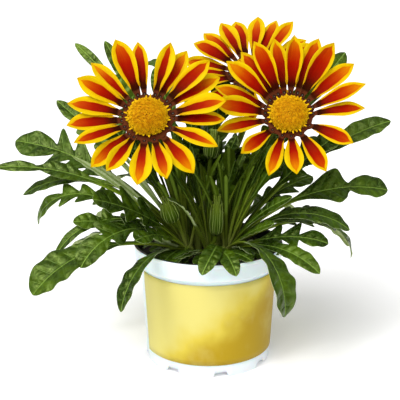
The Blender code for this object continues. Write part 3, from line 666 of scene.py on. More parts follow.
def grow_leaf(leaf, root, growth, seed):
    """A leaf as a closed sheet over (along, across).

    Its midrib is the running sum of its direction. Each row crosses it like a pair of side veins, swept
    forward, as wide as the blade is there. The two halves fold up from the midrib, their edges wave, and
    the blade puffs up between its side veins. The petiole is thick and rounded, and the rib goes on from
    it under the blade, thinning to the tip.
    """
    draw = random.Random(seed)
    s = np.concatenate([
        np.linspace(0, leaf.petiole, growth.stem_rows, endpoint=False),
        leaf.petiole + (1 - leaf.petiole) * np.linspace(0, 1, growth.blade_rows) ** 0.9,
    ])
    midrib = running_line(root, lambda at: leaf_frame(leaf, at)[0], s, leaf.length * MM, 400)
    v = np.sin(np.linspace(-1, 1, growth.columns) * np.pi / 2)[None, :]
    u = np.clip((s - leaf.petiole) / (1 - leaf.petiole), 0, 1)[:, None]
    on_blade = smooth(s, leaf.petiole - 0.02, leaf.petiole + 0.05)[:, None]
    lean = 1 + draw.uniform(-0.10, 0.10) * np.sign(v) * on_blade
    shift = draw.uniform(-0.025, 0.025) * np.sign(v)
    wide = blade_width(np.clip(u + shift * np.sin(np.pi * u), 0, 1), leaf.lobes) * on_blade * lean
    half = growth.stem_half * (1 - 0.78 * u) * smooth(1 - u, 0, 0.06) + wide * leaf.half_width * MM
    half = np.maximum(half, 0.15 * MM)
    sweep = np.where(leaf.lobes > 0, 0.85 - 0.5 * u, 0.45 - 0.1 * u) * smooth(u, 0.0, 0.06)
    size = 0.5 * (half[:, :1] + half[:, -1:])
    phase = draw.uniform(0, 6.3)
    ripple = 1 if leaf.lobes else 1.3
    edge_wave = np.sin(u * ripple * 21 + phase + 1.1 * np.sign(v)) + 0.5 * np.sin(u * 37 + 2 * phase)
    lift = 0.16 * (size - growth.stem_half).clip(0) * np.abs(v) ** 1.4
    lift = lift + 0.075 * size * on_blade * edge_wave * np.abs(v) ** 2.5
    puff = np.abs(np.sin(np.pi * VEINS * u)) ** 0.8 * (1 - np.abs(v) ** 4) * smooth(np.abs(v), 0.02, 0.25)
    lift = lift + PUFF * puff * on_blade * smooth(size, 2 * MM, 8 * MM)
    middle = crossed(midrib, leaf_frame(leaf, s), v * half, sweep * np.abs(v) * half, lift)
    from_rib = np.abs(v) * half
    round_off = np.sqrt(np.clip(1 - v**2, 0, 1))
    rib = np.exp(-((from_rib / (1.3 * MM)) ** 2)) * (1 - 0.75 * u) * smooth(1 - u, 0, 0.1)
    up = 0.16 * MM + (1 - on_blade) * 0.33 * growth.stem_half * round_off - 0.12 * MM * on_blade * rib
    down = 0.16 * MM + (1 - on_blade) * 0.57 * growth.stem_half * round_off + 1.0 * MM * on_blade * rib
    share = np.where(s[:, None] < leaf.petiole, s[:, None] / leaf.petiole - 1, u)
    facts = {"along": share, "across": v, "rib": from_rib / MM}
    # A leaf's tone is random; the younger leaves' lower cap on it is painted shade.
    facts |= {"tone": growth.brightest * draw.random(), "wool": float(leaf.rise < WOOLLY_RISE)}
    return closed_sheet(middle, up, down, **facts)


def grow_stub(spot, seed):
    """The shoot's fleshy foot: a ribbed cone, its section turned about an upright axis."""
    levels = [(0.8, SOIL_TOP - ROOT_DEPTH), (1.0, SOIL_TOP - 5 * MM), (1.0, LEAF_ROOT - 3 * MM)]
    levels += [(0.85, LEAF_ROOT + 1.5 * MM), (0.55, SHOOT_TOP - 1.5 * MM), (0.15, SHOOT_TOP)]
    levels = eased(levels, 1.2 * MM, closed=False)
    turn = turns(48)
    ribs = 1 + 0.10 * np.cos(7 * turn + seed)
    rings = spot + wheel(SHOOT_RADIUS * levels[:, :1] * ribs, turn, levels[:, 1:])
    return closed_rings(rings, along=-0.9, rib=9.0, tone=0.5)


upper = Nodes("leaf_face", specular_ior_level=0.42, specular_tint=(0.75, 1.0, 0.25, 1.0))
share, across = upper.grown()
vein_run = upper.maths("PINGPONG", upper.times(share, VEINS), 0.5)
outward = upper.maths("ABSOLUTE", across)
side_vein = upper.times(
    upper.ease(vein_run, 0.03, 0.10, 1.0, 0.0),
    upper.ease(outward, 0.45, 0.95, 1.0, 0.0),
)
rib_line = upper.ease(upper.layer("rib"), 0.2, 0.65, 1.0, 0.0)
cell_at = {"Vector": upper.place(), "Scale": 190.0}
cells = upper.node("TexVoronoi", 0, cell_at, feature="DISTANCE_TO_EDGE")
net = upper.ease(cells, 0.02, 0.12, 1.0, 0.0)
patches = upper.noise(55.0, 4.0)
deep = upper.mix(upper.layer("tone"), (0.005, 0.014, 0.0), (0.012, 0.028, 0.0003))
fresh = upper.mix(upper.layer("tone"), (0.030, 0.066, 0.0003), (0.062, 0.112, 0.001))
blade_green = upper.mix(upper.ease(patches, 0.35, 0.75), deep, fresh)
netted = upper.mix(upper.times(net, 0.18), blade_green, (0.08, 0.16, 0.03))
veined = upper.mix(upper.times(side_vein, 0.14), netted, (0.09, 0.18, 0.035))
ribbed = upper.mix(upper.times(rib_line, 0.7), veined, (0.17, 0.28, 0.04))
stem_green = upper.ramp(
    upper.plus(share, 1.0),
    (0.0, (0.24, 0.28, 0.06)),
    (0.25, (0.145, 0.205, 0.010)),
    (0.8, (0.090, 0.148, 0.002)),
    (1.0, (0.055, 0.100, 0.001)),
)
fibres = upper.times(upper.noise(300.0, 2.0), 0.25)
own_shade = upper.ramp(
    upper.layer("tone"),
    (0.0, (0.25, 0.28, 0.2)),
    (0.5, (0.65, 0.65, 0.65)),
    (1.0, (1.25, 1.25, 1.25)),
)
# The petiole's top is painted lighter towards its edges: painted highlight on the rims of a groove that the
# shape lacks.
painted_groove_rims = upper.times(upper.ease(outward, 0.5, 0.95), 0.55)
painted_groove_colour = upper.mix(painted_groove_rims, upper.mix(fibres, stem_green, (0.2, 0.33, 0.04)), (0.26, 0.36, 0.03))
stem_shade = upper.mix(1.0, painted_groove_colour, own_shade, "MULTIPLY")
on_blade = upper.ease(share, -0.08, 0.06)
groove = upper.maths("MAXIMUM", rib_line, upper.times(side_vein, 0.7))
blister = upper.ease(cells, 0.0, 0.45, 0.0, 0.8)
swell = upper.minus(blister, groove)
leaf_face = upper.finish(
    base_color=upper.mix(on_blade, stem_shade, ribbed),
    roughness=upper.ease(patches, 0.3, 0.7, 0.25, 0.38),
    normal=upper.bump(swell, 0.0003),
)

lower = Nodes("leaf_back", roughness=0.9, specular_ior_level=0.05)
share, across = lower.grown()
wool = lower.noise(520.0, 4.0, 0.7)
rib_line = lower.ease(lower.layer("rib"), 0.7, 1.6, 1.0, 0.0)
pale = lower.mix(lower.ease(wool, 0.3, 0.7), (0.25, 0.32, 0.12), (0.40, 0.47, 0.24))
own_green = lower.mix(lower.layer("tone"), (0.016, 0.032, 0.001), (0.070, 0.115, 0.003))
greener = lower.mix(lower.layer("wool"), own_green, pale)
backed = lower.mix(lower.times(rib_line, 0.7), greener, (0.13, 0.20, 0.02))
stem_under = lower.ramp(
    lower.plus(share, 1.0),
    (0.0, (0.30, 0.33, 0.09)),
    (0.4, (0.16, 0.21, 0.020)),
    (1.0, (0.10, 0.145, 0.010)),
)
# A paler line down the middle of the petiole's rounded back: painted highlight along its crest.
painted_crest_highlight = lower.ease(lower.maths("ABSOLUTE", across), 0.0, 0.6, 1.0, 0.0)
under_shade = lower.ramp(
    lower.layer("tone"),
    (0.0, (0.3, 0.33, 0.2)),
    (0.5, (0.7, 0.7, 0.6)),
    (1.0, (1.2, 1.2, 1.2)),
)
crest_highlighted = lower.mix(lower.times(painted_crest_highlight, 0.35), stem_under, (0.26, 0.34, 0.04))
stem_back = lower.mix(1.0, crest_highlighted, under_shade, "MULTIPLY")
leaf_back = lower.finish(
    base_color=lower.mix(lower.ease(share, -0.1, 0.05), stem_back, backed),
    normal=lower.bump(wool, 0.0004),
)


def leaf_root(ring_heading, leaf, k):
    """Where leaf k leaves its shoot: inside the stub, a little towards the leaf's own side."""
    stub = direction(ring_heading, 0) * SHOOT_RING
    stub[2] = LEAF_ROOT + (k % 3 - 1) * 1.5 * MM
    return stub + direction(leaf.heading, 0) * 1.5 * MM


# The younger leaves of each shoot: how many, their shortest and longest in millimetres, and the widest
# that their blades' halves grow.
YOUNG = {
    "shoot_front_left": (10, 66, 100, 3),
    "shoot_left": (9, 80, 116, 9),
    "shoot_back_left": (6, 84, 116, 10),
    "shoot_back": (7, 76, 108, 10),
    "shoot_back_right": (6, 80, 104, 10),
    "shoot_right": (8, 64, 92, 8),
    "shoot_front_right": (10, 58, 84, 3),
    "shoot_front": (11, 60, 94, 3),
}
# How far round a shoot's younger leaves lean from its own heading: the front ones lean back, and so
# leave its bud free.
LEANING = {"shoot_front": 180}
# Two further kinds: leaves turned over on the left, so that their pale woolly backs show, and short ones
# that lie low over the soil, out towards the rim. For each, how many on which shoots, then the limits of
# heading, rise, length, half width and roll, then how far it falls from its rise, its bend and petiole.
TURNED = {"shoot_left": 4, "shoot_back_left": 3}
LOW = {"shoot_front_left": 4, "shoot_front": 4, "shoot_front_right": 4, "shoot_left": 2, "shoot_right": 3}
FURTHER = (
    (TURNED, ((-14, 30), (46, 64), (86, 116), (1.8, 3.6), (35, 65)), 16, 1.1, 0.45),
    (LOW, ((-60, 60), (12, 30), (34, 48), (3.5, 6), (-25, 25)), 40, 1.2, 0.3),
)


def young_leaves(name, ring_heading):
    """The shoot's younger leaves: those that crowd upright in the middle, and then the further kinds."""
    count, shortest, longest, widest = YOUNG[name]
    draw = random.Random(name)
    young = []
    for _ in range(count):
        heading = ring_heading + LEANING.get(name, 0) + draw.uniform(-115, 115)
        rise = draw.uniform(70, 87)
        fall = rise - draw.uniform(4, 26)
        turn, roll = draw.uniform(-8, 8), draw.uniform(-40, 40)
        wide = widest * draw.uniform(0.5, 1)
        lobes = 2 if wide > 6 else 0
        length, petiole = draw.uniform(shortest, longest), draw.uniform(0.5, 0.66)
        young.append(Leaf(heading, turn, rise, fall, 1.1, length, wide, lobes, roll, petiole))
    for counts, limits, droop, bend, petiole in FURTHER:
        for _ in range(counts.get(name, 0)):
            swing, rise, length, wide, roll = (draw.uniform(*pair) for pair in limits)
            heading = ring_heading + swing
            young.append(Leaf(heading, 0, rise, rise - droop, bend, length, wide, 0, roll, petiole))
    return young


for name, leaves in LEAVES.items():
    ring_heading = SHOOT_HEADINGS[name]
    stub_spot = direction(ring_heading, 0) * SHOOT_RING
    grown = [grow_stub(stub_spot, len(name))]
    for k, leaf in enumerate(leaves + young_leaves(name, ring_heading)):
        growth = FULL_GROWN if k < len(leaves) else YOUNGER
        grown.append(grow_leaf(leaf, leaf_root(ring_heading, leaf, k), growth, f"{name}{k}"))
    make_piece(name + "_leaves", grown, [leaf_face, leaf_back], [name])

# The flower stems.
# Leafless green stems, finely ribbed and a little downy, each ending in the cup of joined bracts that
# holds the petals: its bracts end in two rows of points.
STALK_RING, STALK_RADIUS, BUD_STALK_RADIUS = 8 * MM, 2.8 * MM, 1.8 * MM
CUP_RADIUS, CUP_DEPTH = 11.5 * MM, 18 * MM
HUB_LOW = -2.0 * MM

# Centre of the petals' ring in millimetres, heading and tilt of its face, petal reach in millimetres,
# how much further the upper petals reach than the lower, lift of the petals off its plane in degrees,
# its stem's heading on the inner ring, and the petals' angles in its plane, as grown.
Bloom = namedtuple("Bloom", "centre heading tilt reach lean lift stalk petals")

BLOOMS = {
    "left": Bloom(
        (-44, -50, 204), -88, 34, 58, 0.07, 8, 190,
        (170, 151, 134, 112, 97, 73, 61, 42, 31, 9, -3, -28, -53, -75, -98, -123, -136, -156, -173),
    ),
    "right": Bloom(
        (61, -13, 200), -94, 34, 59, 0.10, 14, 10,
        (161, 142, 127, 117, 101, 87, 70, 58, 39, 19, 3, -30, -60, -84, -106, -134, -163, -182),
    ),
    "back": Bloom(
        (36, 53, 225), -98, 48, 58, 0.0, 10, 70,
        (172, 156, 138, 122, 108, 88, 72, 56, 38, 20, 0, -21, -42, -63, -85, -107, -130, -151, -170),
    ),
}


def facing(centre, heading, tilt):
    """(turn, spot) of a bloom or bud: its third axis looks along heading and tilt, its second leans up."""
    face = direction(heading, tilt)
    right = unit(np.cross([0, 0, 1], face))
    return np.stack([right, np.cross(face, right), face], 1), np.array(centre) * MM


def set_on(points, place):
    """Points of a bloom or bud, from its own axes to the object's."""
    turn, spot = place
    return points @ turn.T + spot


def grow_stalk(root, over, under, end, radius, thin=0.88):
    """A ribbed tube: upright out of the soil, then along a Bezier line, its rings square to the line."""
    base = root + np.array([0, 0, ROOT_DEPTH + 2 * MM])
    t = np.linspace(0, 1, 44)[:, None]
    curve = base * (1 - t) ** 3 + over * 3 * t * (1 - t) ** 2 + under * 3 * t**2 * (1 - t) + end * t**3
    line = np.vstack([root + (base - root) * np.linspace(0, 0.9, 5)[:, None], curve])
    forward = unit(np.gradient(line, axis=0))
    side = unit(np.cross(forward, [1.0, 0.0, 0.0]))
    other = np.cross(forward, side)
    turn = turns(21)[:, None]
    run = np.linspace(0, 1, len(line))[:, None, None]
    swell = radius * (1.06 - (1.06 - thin) * run) * (1 + 0.035 * np.cos(7 * turn))
    rings = line[:, None] + swell * (side[:, None] * np.cos(turn) + other[:, None] * np.sin(turn))
    return closed_rings(rings, along=np.linspace(0, 0.6, len(line)))


def grow_bracts(outline, count, shift, breadth, start, stop, place, proud, flare):
    """A row of pointed bracts that hug a round body.

    The body's outline gives a radius and a height at each share of its length. A bract runs up it from
    start to stop, narrows to a point, stands proud of it, and flares away from it towards its tip.
    """
    shares, radii, heights = outline
    t = np.linspace(0, 1, 12)[:, None]
    v = np.linspace(-1, 1, 5)[None, :]
    at = start + (stop - start) * t
    inside = np.minimum(at, 1.0)
    radius = np.interp(inside, shares, radii) + proud + flare * smooth(t, 0.55, 1.0)
    height = np.interp(inside, shares, heights) + (at - inside) * (heights[-1] - heights[0])
    width = breadth * (1 - smooth(t, 0.45, 1.0) * 0.97) * np.sqrt(np.clip(1 - (1 - t) ** 4 * 0.4, 0, 1))
    radius = radius - 0.25 * breadth * np.abs(v) ** 2 * smooth(t, 0.5, 1.0)
    row = []
    for k in range(count):
        angle = 2 * np.pi * (k + shift) / count + v * width / np.maximum(radius, 1.5 * MM)
        middle = set_on(wheel(radius, angle, height), place)[::-1]
        row.append(closed_sheet(middle, 0.3 * MM, 0.3 * MM, back=0, along=at[::-1], across=v))
    return row


def grow_body(outline, place, ribs, relief):
    """A round body from its outline, ribbed lengthwise, closed at both ends."""
    shares, radii, heights = outline
    fine = np.linspace(shares[0], shares[-1], 30)
    turn = turns(56)
    radius = np.interp(fine, shares, radii)[:, None] * (1 + relief * np.cos(ribs * turn))
    rings = set_on(wheel(radius, turn, np.interp(fine, shares, heights)[:, None]), place)
    return closed_rings(rings, along=fine)


stem = Nodes("stem_green", roughness=0.5, specular_ior_level=0.2, specular_tint=(0.8, 1.0, 0.42, 1.0))
share, across = stem.grown()
flecks = stem.noise(140.0, 4.0)
stem_colour = stem.ramp(
    share,
    (0.0, (0.20, 0.24, 0.05)),
    (0.15, (0.10, 0.14, 0.010)),
    (0.6, (0.060, 0.098, 0.004)),
    (1.0, (0.075, 0.12, 0.006)),
)
down = stem.noise(700.0, 3.0)
stem_finish = stem.finish(
    base_color=stem.mix(stem.ease(flecks, 0.45, 0.8, 0.0, 0.45), stem_colour, (0.10, 0.155, 0.02)),
    normal=stem.bump(down, 0.0003),
)

CUP_OUTLINE = (
    np.array([0.0, 0.14, 0.45, 0.8, 0.9, 1.0]),
    CUP_RADIUS * np.array([0.26, 0.62, 0.90, 1.0, 1.0, 0.98]),
    np.append(CUP_DEPTH * np.array([-1.02, -0.88, -0.55, -0.2, -0.15]), HUB_LOW - 0.3 * MM),
)
BLOOM_PLACES = {name: facing(bloom.centre, bloom.heading, bloom.tilt) for name, bloom in BLOOMS.items()}
for name, bloom in BLOOMS.items():
    place = BLOOM_PLACES[name]
    foot = direction(bloom.stalk, 0) * STALK_RING + [0, 0, SOIL_TOP - ROOT_DEPTH]
    head = set_on(np.array([0, 0, -0.8 * CUP_DEPTH]), place)
    back = set_on(np.array([0, 0, -4.2 * CUP_DEPTH]), place)
    parts = [grow_stalk(foot, foot + [0, 0, 75 * MM], back, head, STALK_RADIUS)]
    parts.append(grow_body(CUP_OUTLINE, place, 14, 0.035))
    parts += grow_bracts(CUP_OUTLINE, 14, 0.0, 2.3 * MM, 0.10, 1.02, place, 0.25 * MM, 0.5 * MM)
    parts += grow_bracts(CUP_OUTLINE, 14, 0.5, 2.0 * MM, 0.05, 0.74, place, 0.7 * MM, 1.3 * MM)
    make_piece(f"flower_stem_{name}_grown", parts, [stem_finish], [f"flower_stem_{name}"])

# The buds.
# Closed buds low among the leaves: overlapping green bracts with pointed tips, on short thin stalks that
# rise from a shoot's foot.
Bud = namedtuple("Bud", "shoot centre radius height heading tilt")

BUDS = (
    Bud("shoot_front_left", (-30, -21, 126), 7, 17, -130, 66),
    Bud("shoot_front", (6, -22, 120), 5, 26, -80, 80),
    Bud("shoot_back", (3, 12, 170), 6, 18, 60, 74),
)

bract = Nodes("bud_bracts", roughness=0.5, specular_ior_level=0.08, specular_tint=(0.8, 1.0, 0.42, 1.0))
share, across = bract.grown()
edge_line = bract.ease(bract.maths("ABSOLUTE", across), 0.55, 0.95)
bud_base = bract.ramp(
    share,
    (0.0, (0.030, 0.062, 0.002)),
    (0.6, (0.048, 0.092, 0.004)),
    (1.0, (0.13, 0.19, 0.015)),
)
bud_finish = bract.finish(
    base_color=bract.mix(bract.times(edge_line, 0.85), bud_base, (0.30, 0.38, 0.10)),
    normal=bract.bump(bract.noise(400.0, 3.0), 0.0003),
)
for bud in BUDS:
    place = facing(bud.centre, bud.heading, bud.tilt)
    radius, height = bud.radius * MM, bud.height * MM
    egg = (
        np.array([0.0, 0.1, 0.4, 0.65, 0.85, 1.0]),
        radius * np.array([0.35, 0.8, 0.97, 0.88, 0.62, 0.3]),
        height * np.array([-0.5, -0.38, -0.1, 0.15, 0.34, 0.47]),
    )
    foot = direction(SHOOT_HEADINGS[bud.shoot], 0) * SHOOT_RING + [0, 0, SOIL_TOP - MM]
    head = set_on(np.array([0, 0, -0.4 * height]), place)
    back = set_on(np.array([0, 0, -0.9 * height]), place)
    over = foot + [0, 0, 0.6 * (head[2] - foot[2])]
    stalk = grow_stalk(foot, over, back, head, BUD_STALK_RADIUS)
    stalk["slot"] = stalk["slot"] + 1
    parts = [stalk, grow_body(egg, place, 8, 0.03)]
    parts += grow_bracts(egg, 9, 0.0, 0.33 * radius, 0.05, 1.36, place, 0.2 * MM, 1.0 * MM)
    parts += grow_bracts(egg, 9, 0.5, 0.24 * radius, 0.0, 1.1, place, 0.55 * MM, 2.4 * MM)
    make_piece(bud.shoot + "_bud", parts, [bud_finish, stem_finish], [bud.shoot])

# The ray petals.
# One ring of strap petals round each disc, in two layers: yellow with a red stripe down the middle that
# is nearly black at its foot and orange at its end, on a ring of brown bases.
HUB_HIGH = 0.6 * MM
PETAL_ROOT, PETAL_HALF_WIDTH = 14 * MM, 7.8 * MM
LAYER_LIFT = 4.0
# The stripe's half width on each bloom, as a share of the petal's.
STRIPE_WIDTH = {"left": 0.56, "right": 0.68, "back": 0.62}


def grow_petal(angle, lift, length, curl, breadth, twist, stripe_width, place, seed):
    """A petal as a closed sheet over (along, across).

    Its midline is the running sum of a direction that curls back evenly. It is narrow at its foot, widest
    at two thirds, and ends in a point. Both halves fold up from the midline, with a groove along each,
    and the edges curl. The stripe's layer is how far a point lies inside the stripe's edge.
    """
    draw = random.Random(seed)
    u = np.linspace(0, 1, 36) ** 0.9

    def toward(at):
        """The midline's direction at shares of its length."""
        return direction(angle, lift + curl * (at - 0.5))

    foot = direction(angle, 0) * PETAL_ROOT + [0, 0, 0.5 * (HUB_LOW + HUB_HIGH)]
    midline = running_line(foot, toward, u, length, 200)
    axes = rolled(toward(u), angle, twist * u)
    u = u[:, None]
    v = np.sin(np.linspace(-1, 1, 17) * np.pi / 2)[None, :]
    half = 0.88 * breadth * (0.20 * (1 - u) + np.sin(np.pi * u**1.6) ** 0.96)
    half = np.maximum(half * (1 + draw.uniform(-0.09, 0.09) * np.sign(v)), 0.12 * MM)
    fold = draw.uniform(0.20, 0.42)
    roll = draw.uniform(-0.10, 0.16)
    phase = draw.uniform(0, 6.3)
    wave = 0.085 * np.sin(9 * u + phase + np.sign(v)) * smooth(u, 0.2, 0.5)
    grooves = np.exp(-(((np.abs(v) - 0.42) / 0.10) ** 2)) * smooth(half, 2 * MM, 5 * MM)
    lift_up = half * (fold * np.abs(v) ** 1.25 + roll * v * np.abs(v) + wave * np.abs(v) ** 2)
    lift_up = lift_up - 0.40 * MM * grooves + 0.10 * MM * np.cos(7 * np.pi * v) * smooth(u, 0.1, 0.4)
    middle = crossed(midline, axes, v * half, 0.25 * np.abs(v) * half * u, lift_up)
    thick = 0.10 * MM + 0.18 * MM * np.sqrt(1 - v**2) * (1 - 0.6 * u)
    wobble = 0.03 * np.sin(11 * u + phase) + 0.015 * np.sin(31 * u + 2 * phase)
    body = stripe_width * draw.uniform(0.82, 1.2)
    stripe = body + 0.55 * smooth(0.30 - u, 0, 0.16) - 0.10 * smooth(u, 0.35, 0.8)
    stripe = stripe * (1 - smooth(u, 0.80, 0.965) ** 1.5) + wobble - np.abs(v)
    facts = {"along": u, "across": v, "stripe": stripe, "tone": draw.random()}
    return closed_sheet(set_on(middle, place), thick, thick, **facts)


def grow_hub(place, petals):
    """The ring under the petals' feet: a flat lens, its edge scalloped once for each petal."""
    profile = [(8 * MM, -1.2 * MM), (12 * MM, HUB_LOW), (19.5 * MM, HUB_LOW + 0.8 * MM)]
    profile += [(20.4 * MM, HUB_HIGH - 0.6 * MM), (18 * MM, HUB_HIGH), (8 * MM, HUB_HIGH - 0.2 * MM)]
    section = eased(profile, 0.5 * MM)
    turn = turns(192)
    near = np.max([np.cos(turn - np.radians(angle)) for angle in petals], axis=0)
    scallop = 1 - 0.10 * smooth(np.arccos(np.clip(near, -1, 1)), 0.02, 0.20) * (section[:, :1] > 16 * MM)
    points = set_on(wheel(section[:, :1] * scallop, turn, section[:, 1:]), place)
    quads = grid_quads(len(section), len(turn), around=True, along=True)
    return part(points, quads, along=0.15, stripe=1.0, tone=0.5)


petal = Nodes("ray_petal_face", specular_ior_level=0.12, specular_tint=(1.0, 0.42, 0.06, 1.0))
share, across = petal.grown()
own = petal.layer("tone")
streak_at = petal.point(petal.times(share, 2.0), petal.times(across, 14.0), petal.times(own, 40.0))
streak = petal.noise(1.6, 3.0, 0.6, at=streak_at)
yellow = petal.ramp(
    petal.plus(share, petal.times(streak, 0.14)),
    (0.22, (0.45, 0.22, 0.005)),
    (0.42, (0.57, 0.37, 0.001)),
    (0.80, (0.63, 0.455, 0.002)),
    (1.0, (0.60, 0.39, 0.001)),
)
run_on = petal.times(petal.minus(streak, 0.5), 0.22)
redder = petal.times(petal.times(petal.minus(own, 0.45), share), 0.35)
red = petal.ramp(
    petal.plus(share, petal.plus(run_on, redder)),
    (0.16, (0.008, 0.0004, 0.0004)),
    (0.26, (0.032, 0.0004, 0.0004)),
    (0.37, (0.16, 0.0004, 0.0004)),
    (0.58, (0.28, 0.0030, 0.0)),
    (0.77, (0.39, 0.035, 0.0)),
    (0.98, (0.52, 0.15, 0.0)),
)
edge = petal.plus(petal.layer("stripe"), petal.times(streak, 0.10))
in_stripe = petal.ease(edge, 0.03, 0.10)
# The yellow turns orange next to the stripe: partly the petal's own orange, partly painted shade.
orange_and_painted_shade = petal.ease(edge, -0.32, 0.10, 0.0, 0.42)
flushed_and_shaded = petal.mix(orange_and_painted_shade, yellow, (0.55, 0.19, 0.0))
striped = petal.mix(in_stripe, flushed_and_shaded, red)
brown = petal.mix(petal.ease(streak, 0.3, 0.7), (0.055, 0.011, 0.004), (0.105, 0.024, 0.010))
based = petal.mix(petal.ease(share, 0.16, 0.20, 1.0, 0.0), striped, brown)
eye = petal.plus(
    petal.maths("POWER", petal.maths("DIVIDE", petal.minus(share, 0.105), 0.022), 2.0),
    petal.maths("POWER", petal.maths("DIVIDE", across, 0.42), 2.0),
)
fleck = petal.ease(eye, 0.25, 0.55, 1.0, 0.0)
dark_eye = petal.mix(petal.ease(eye, 1.6, 2.6, 1.0, 0.0), based, (0.008, 0.004, 0.004))
ray_colour = petal.mix(petal.times(fleck, 0.15), dark_eye, (0.6, 0.5, 0.4))
ray_face = petal.finish(
    base_color=ray_colour,
    roughness=petal.ease(streak, 0.3, 0.7, 0.36, 0.5),
    normal=petal.bump(streak, 0.00025),
)

petal_back = Nodes("ray_petal_back", roughness=0.55, specular_ior_level=0.05)
share, across = petal_back.grown()
streak_at = petal_back.point(
    petal_back.times(share, 2.0), petal_back.times(across, 12.0), petal_back.layer("tone")
)
streak = petal_back.noise(1.6, 3.0, 0.6, at=streak_at)
edge = petal_back.plus(petal_back.layer("stripe"), petal_back.times(streak, 0.2))
back_stripe = petal_back.ease(edge, -0.05, 0.2)
back_yellow = petal_back.mix(streak, (0.58, 0.38, 0.01), (0.66, 0.50, 0.03))
back_red = petal_back.ramp(
    share,
    (0.1, (0.10, 0.05, 0.03)),
    (0.5, (0.30, 0.07, 0.02)),
    (0.95, (0.62, 0.26, 0.02)),
)
ray_back = petal_back.finish(
    base_color=petal_back.mix(petal_back.times(back_stripe, 0.85), back_yellow, back_red),
    normal=petal_back.bump(streak, 0.0003),
)

for name, bloom in BLOOMS.items():
    place = BLOOM_PLACES[name]
    parts = [grow_hub(place, bloom.petals)]
    growth = random.Random(name)
    for k, angle in enumerate(bloom.petals):
        lift = bloom.lift + (LAYER_LIFT if k % 2 else -LAYER_LIFT) + growth.uniform(-2, 2)
        reach = bloom.reach * (1 + bloom.lean * np.sin(np.radians(angle)))
        length = (reach * MM - PETAL_ROOT) * growth.uniform(0.95, 1.04)
        curl = growth.uniform(-30, -6)
        breadth = PETAL_HALF_WIDTH * growth.uniform(0.82, 1.10)
        twist = np.radians(growth.uniform(-22, 22))
        grown = (angle, lift, length, curl, breadth, twist, STRIPE_WIDTH[name])
        parts.append(grow_petal(*grown, place, f"{name}{k}"))
    make_piece(f"bloom_{name}_petals", parts, [ray_face, ray_back], [f"bloom_{name}_rays"])

# The discs.
# A low dome packed with tiny tube florets in a spiral, orange in the middle, and round it a rim of larger
# yellow ones whose pointed lobes stand out over the petals' dark feet. Each floret darkens towards its
# foot, and the dome under them is dark: painted shade in the crevices between the florets.
DISC_RADIUS, DISC_TIPS, DISC_HEIGHT = 14.2 * MM, 17.2 * MM, 6 * MM
DISC_FOOT = HUB_HIGH + 0.3 * MM
FLORETS, GOLDEN_TURN, ACROSS_DOME = 330, np.radians(137.508), 0.93
# The rim's two rings of larger florets: how many, how far out, how steep, and how long for their width.
RIM_RINGS = ((28, 0.86, 0.35, 1.75), (26, 0.78, 0.9, 1.35))
RIM_LOBES = 26


def floret_shape(lobe):
    """One tube floret along +Z as (points, quads, tip).

    Rings of ten points, the outermost star shaped, as five pointed lobes open, then the throat. Folded
    quads on two middle points close both ends. The tip is how far up the floret each point stands.
    """
    star = np.where(np.arange(10) % 2, 0.62, 1.0 + lobe)
    rings = [(0.55, -0.8), (0.60, 0.2), (0.85 * (0.5 + 0.5 * star), 0.75), (star, 1.15), (0.3, 0.55)]
    points = [wheel(radius, turns(10), height) for radius, height in rings]
    points = np.concatenate(points + [[[0, 0, -0.8], [0, 0, 0.55]]])
    k = np.arange(0, 10, 2)
    low = np.stack([np.full(5, 50), (k + 2) % 10, k + 1, k], 1)
    high = np.stack([np.full(5, 51), k + 40, k + 41, (k + 2) % 10 + 40], 1)
    quads = np.concatenate([grid_quads(5, 10, around=True), low, high])
    return points, quads, np.clip((points[:, 2] + 0.8) / 1.95, 0, 1)


def turned_to(normals, spin):
    """Frames whose third axis is each normal, spun about it."""
    guide = np.where(np.abs(normals[:, 2:]) < 0.9, [[0.0, 0.0, 1.0]], [[1.0, 0.0, 0.0]])
    first = unit(np.cross(guide, normals))
    second = np.cross(normals, first)
    c, s = np.cos(spin)[:, None], np.sin(spin)[:, None]
    return np.stack([first * c + second * s, second * c - first * s, normals], 2)


def set_florets(lobe, out, spin, size, tall, spots, place, across, tone):
    """Florets on a bloom, each turned outward its own way, spun, sized, and stretched along itself."""
    points, quads, tip = floret_shape(lobe)
    frames = turned_to(unit(out), spin) * size[:, None, None]
    frames[:, :, 2] *= np.reshape(tall, (-1, 1))
    facts = {"along": tip, "across": across, "tone": tone}
    return copies(points, quads, place[0] @ frames, set_on(spots, place), **facts)


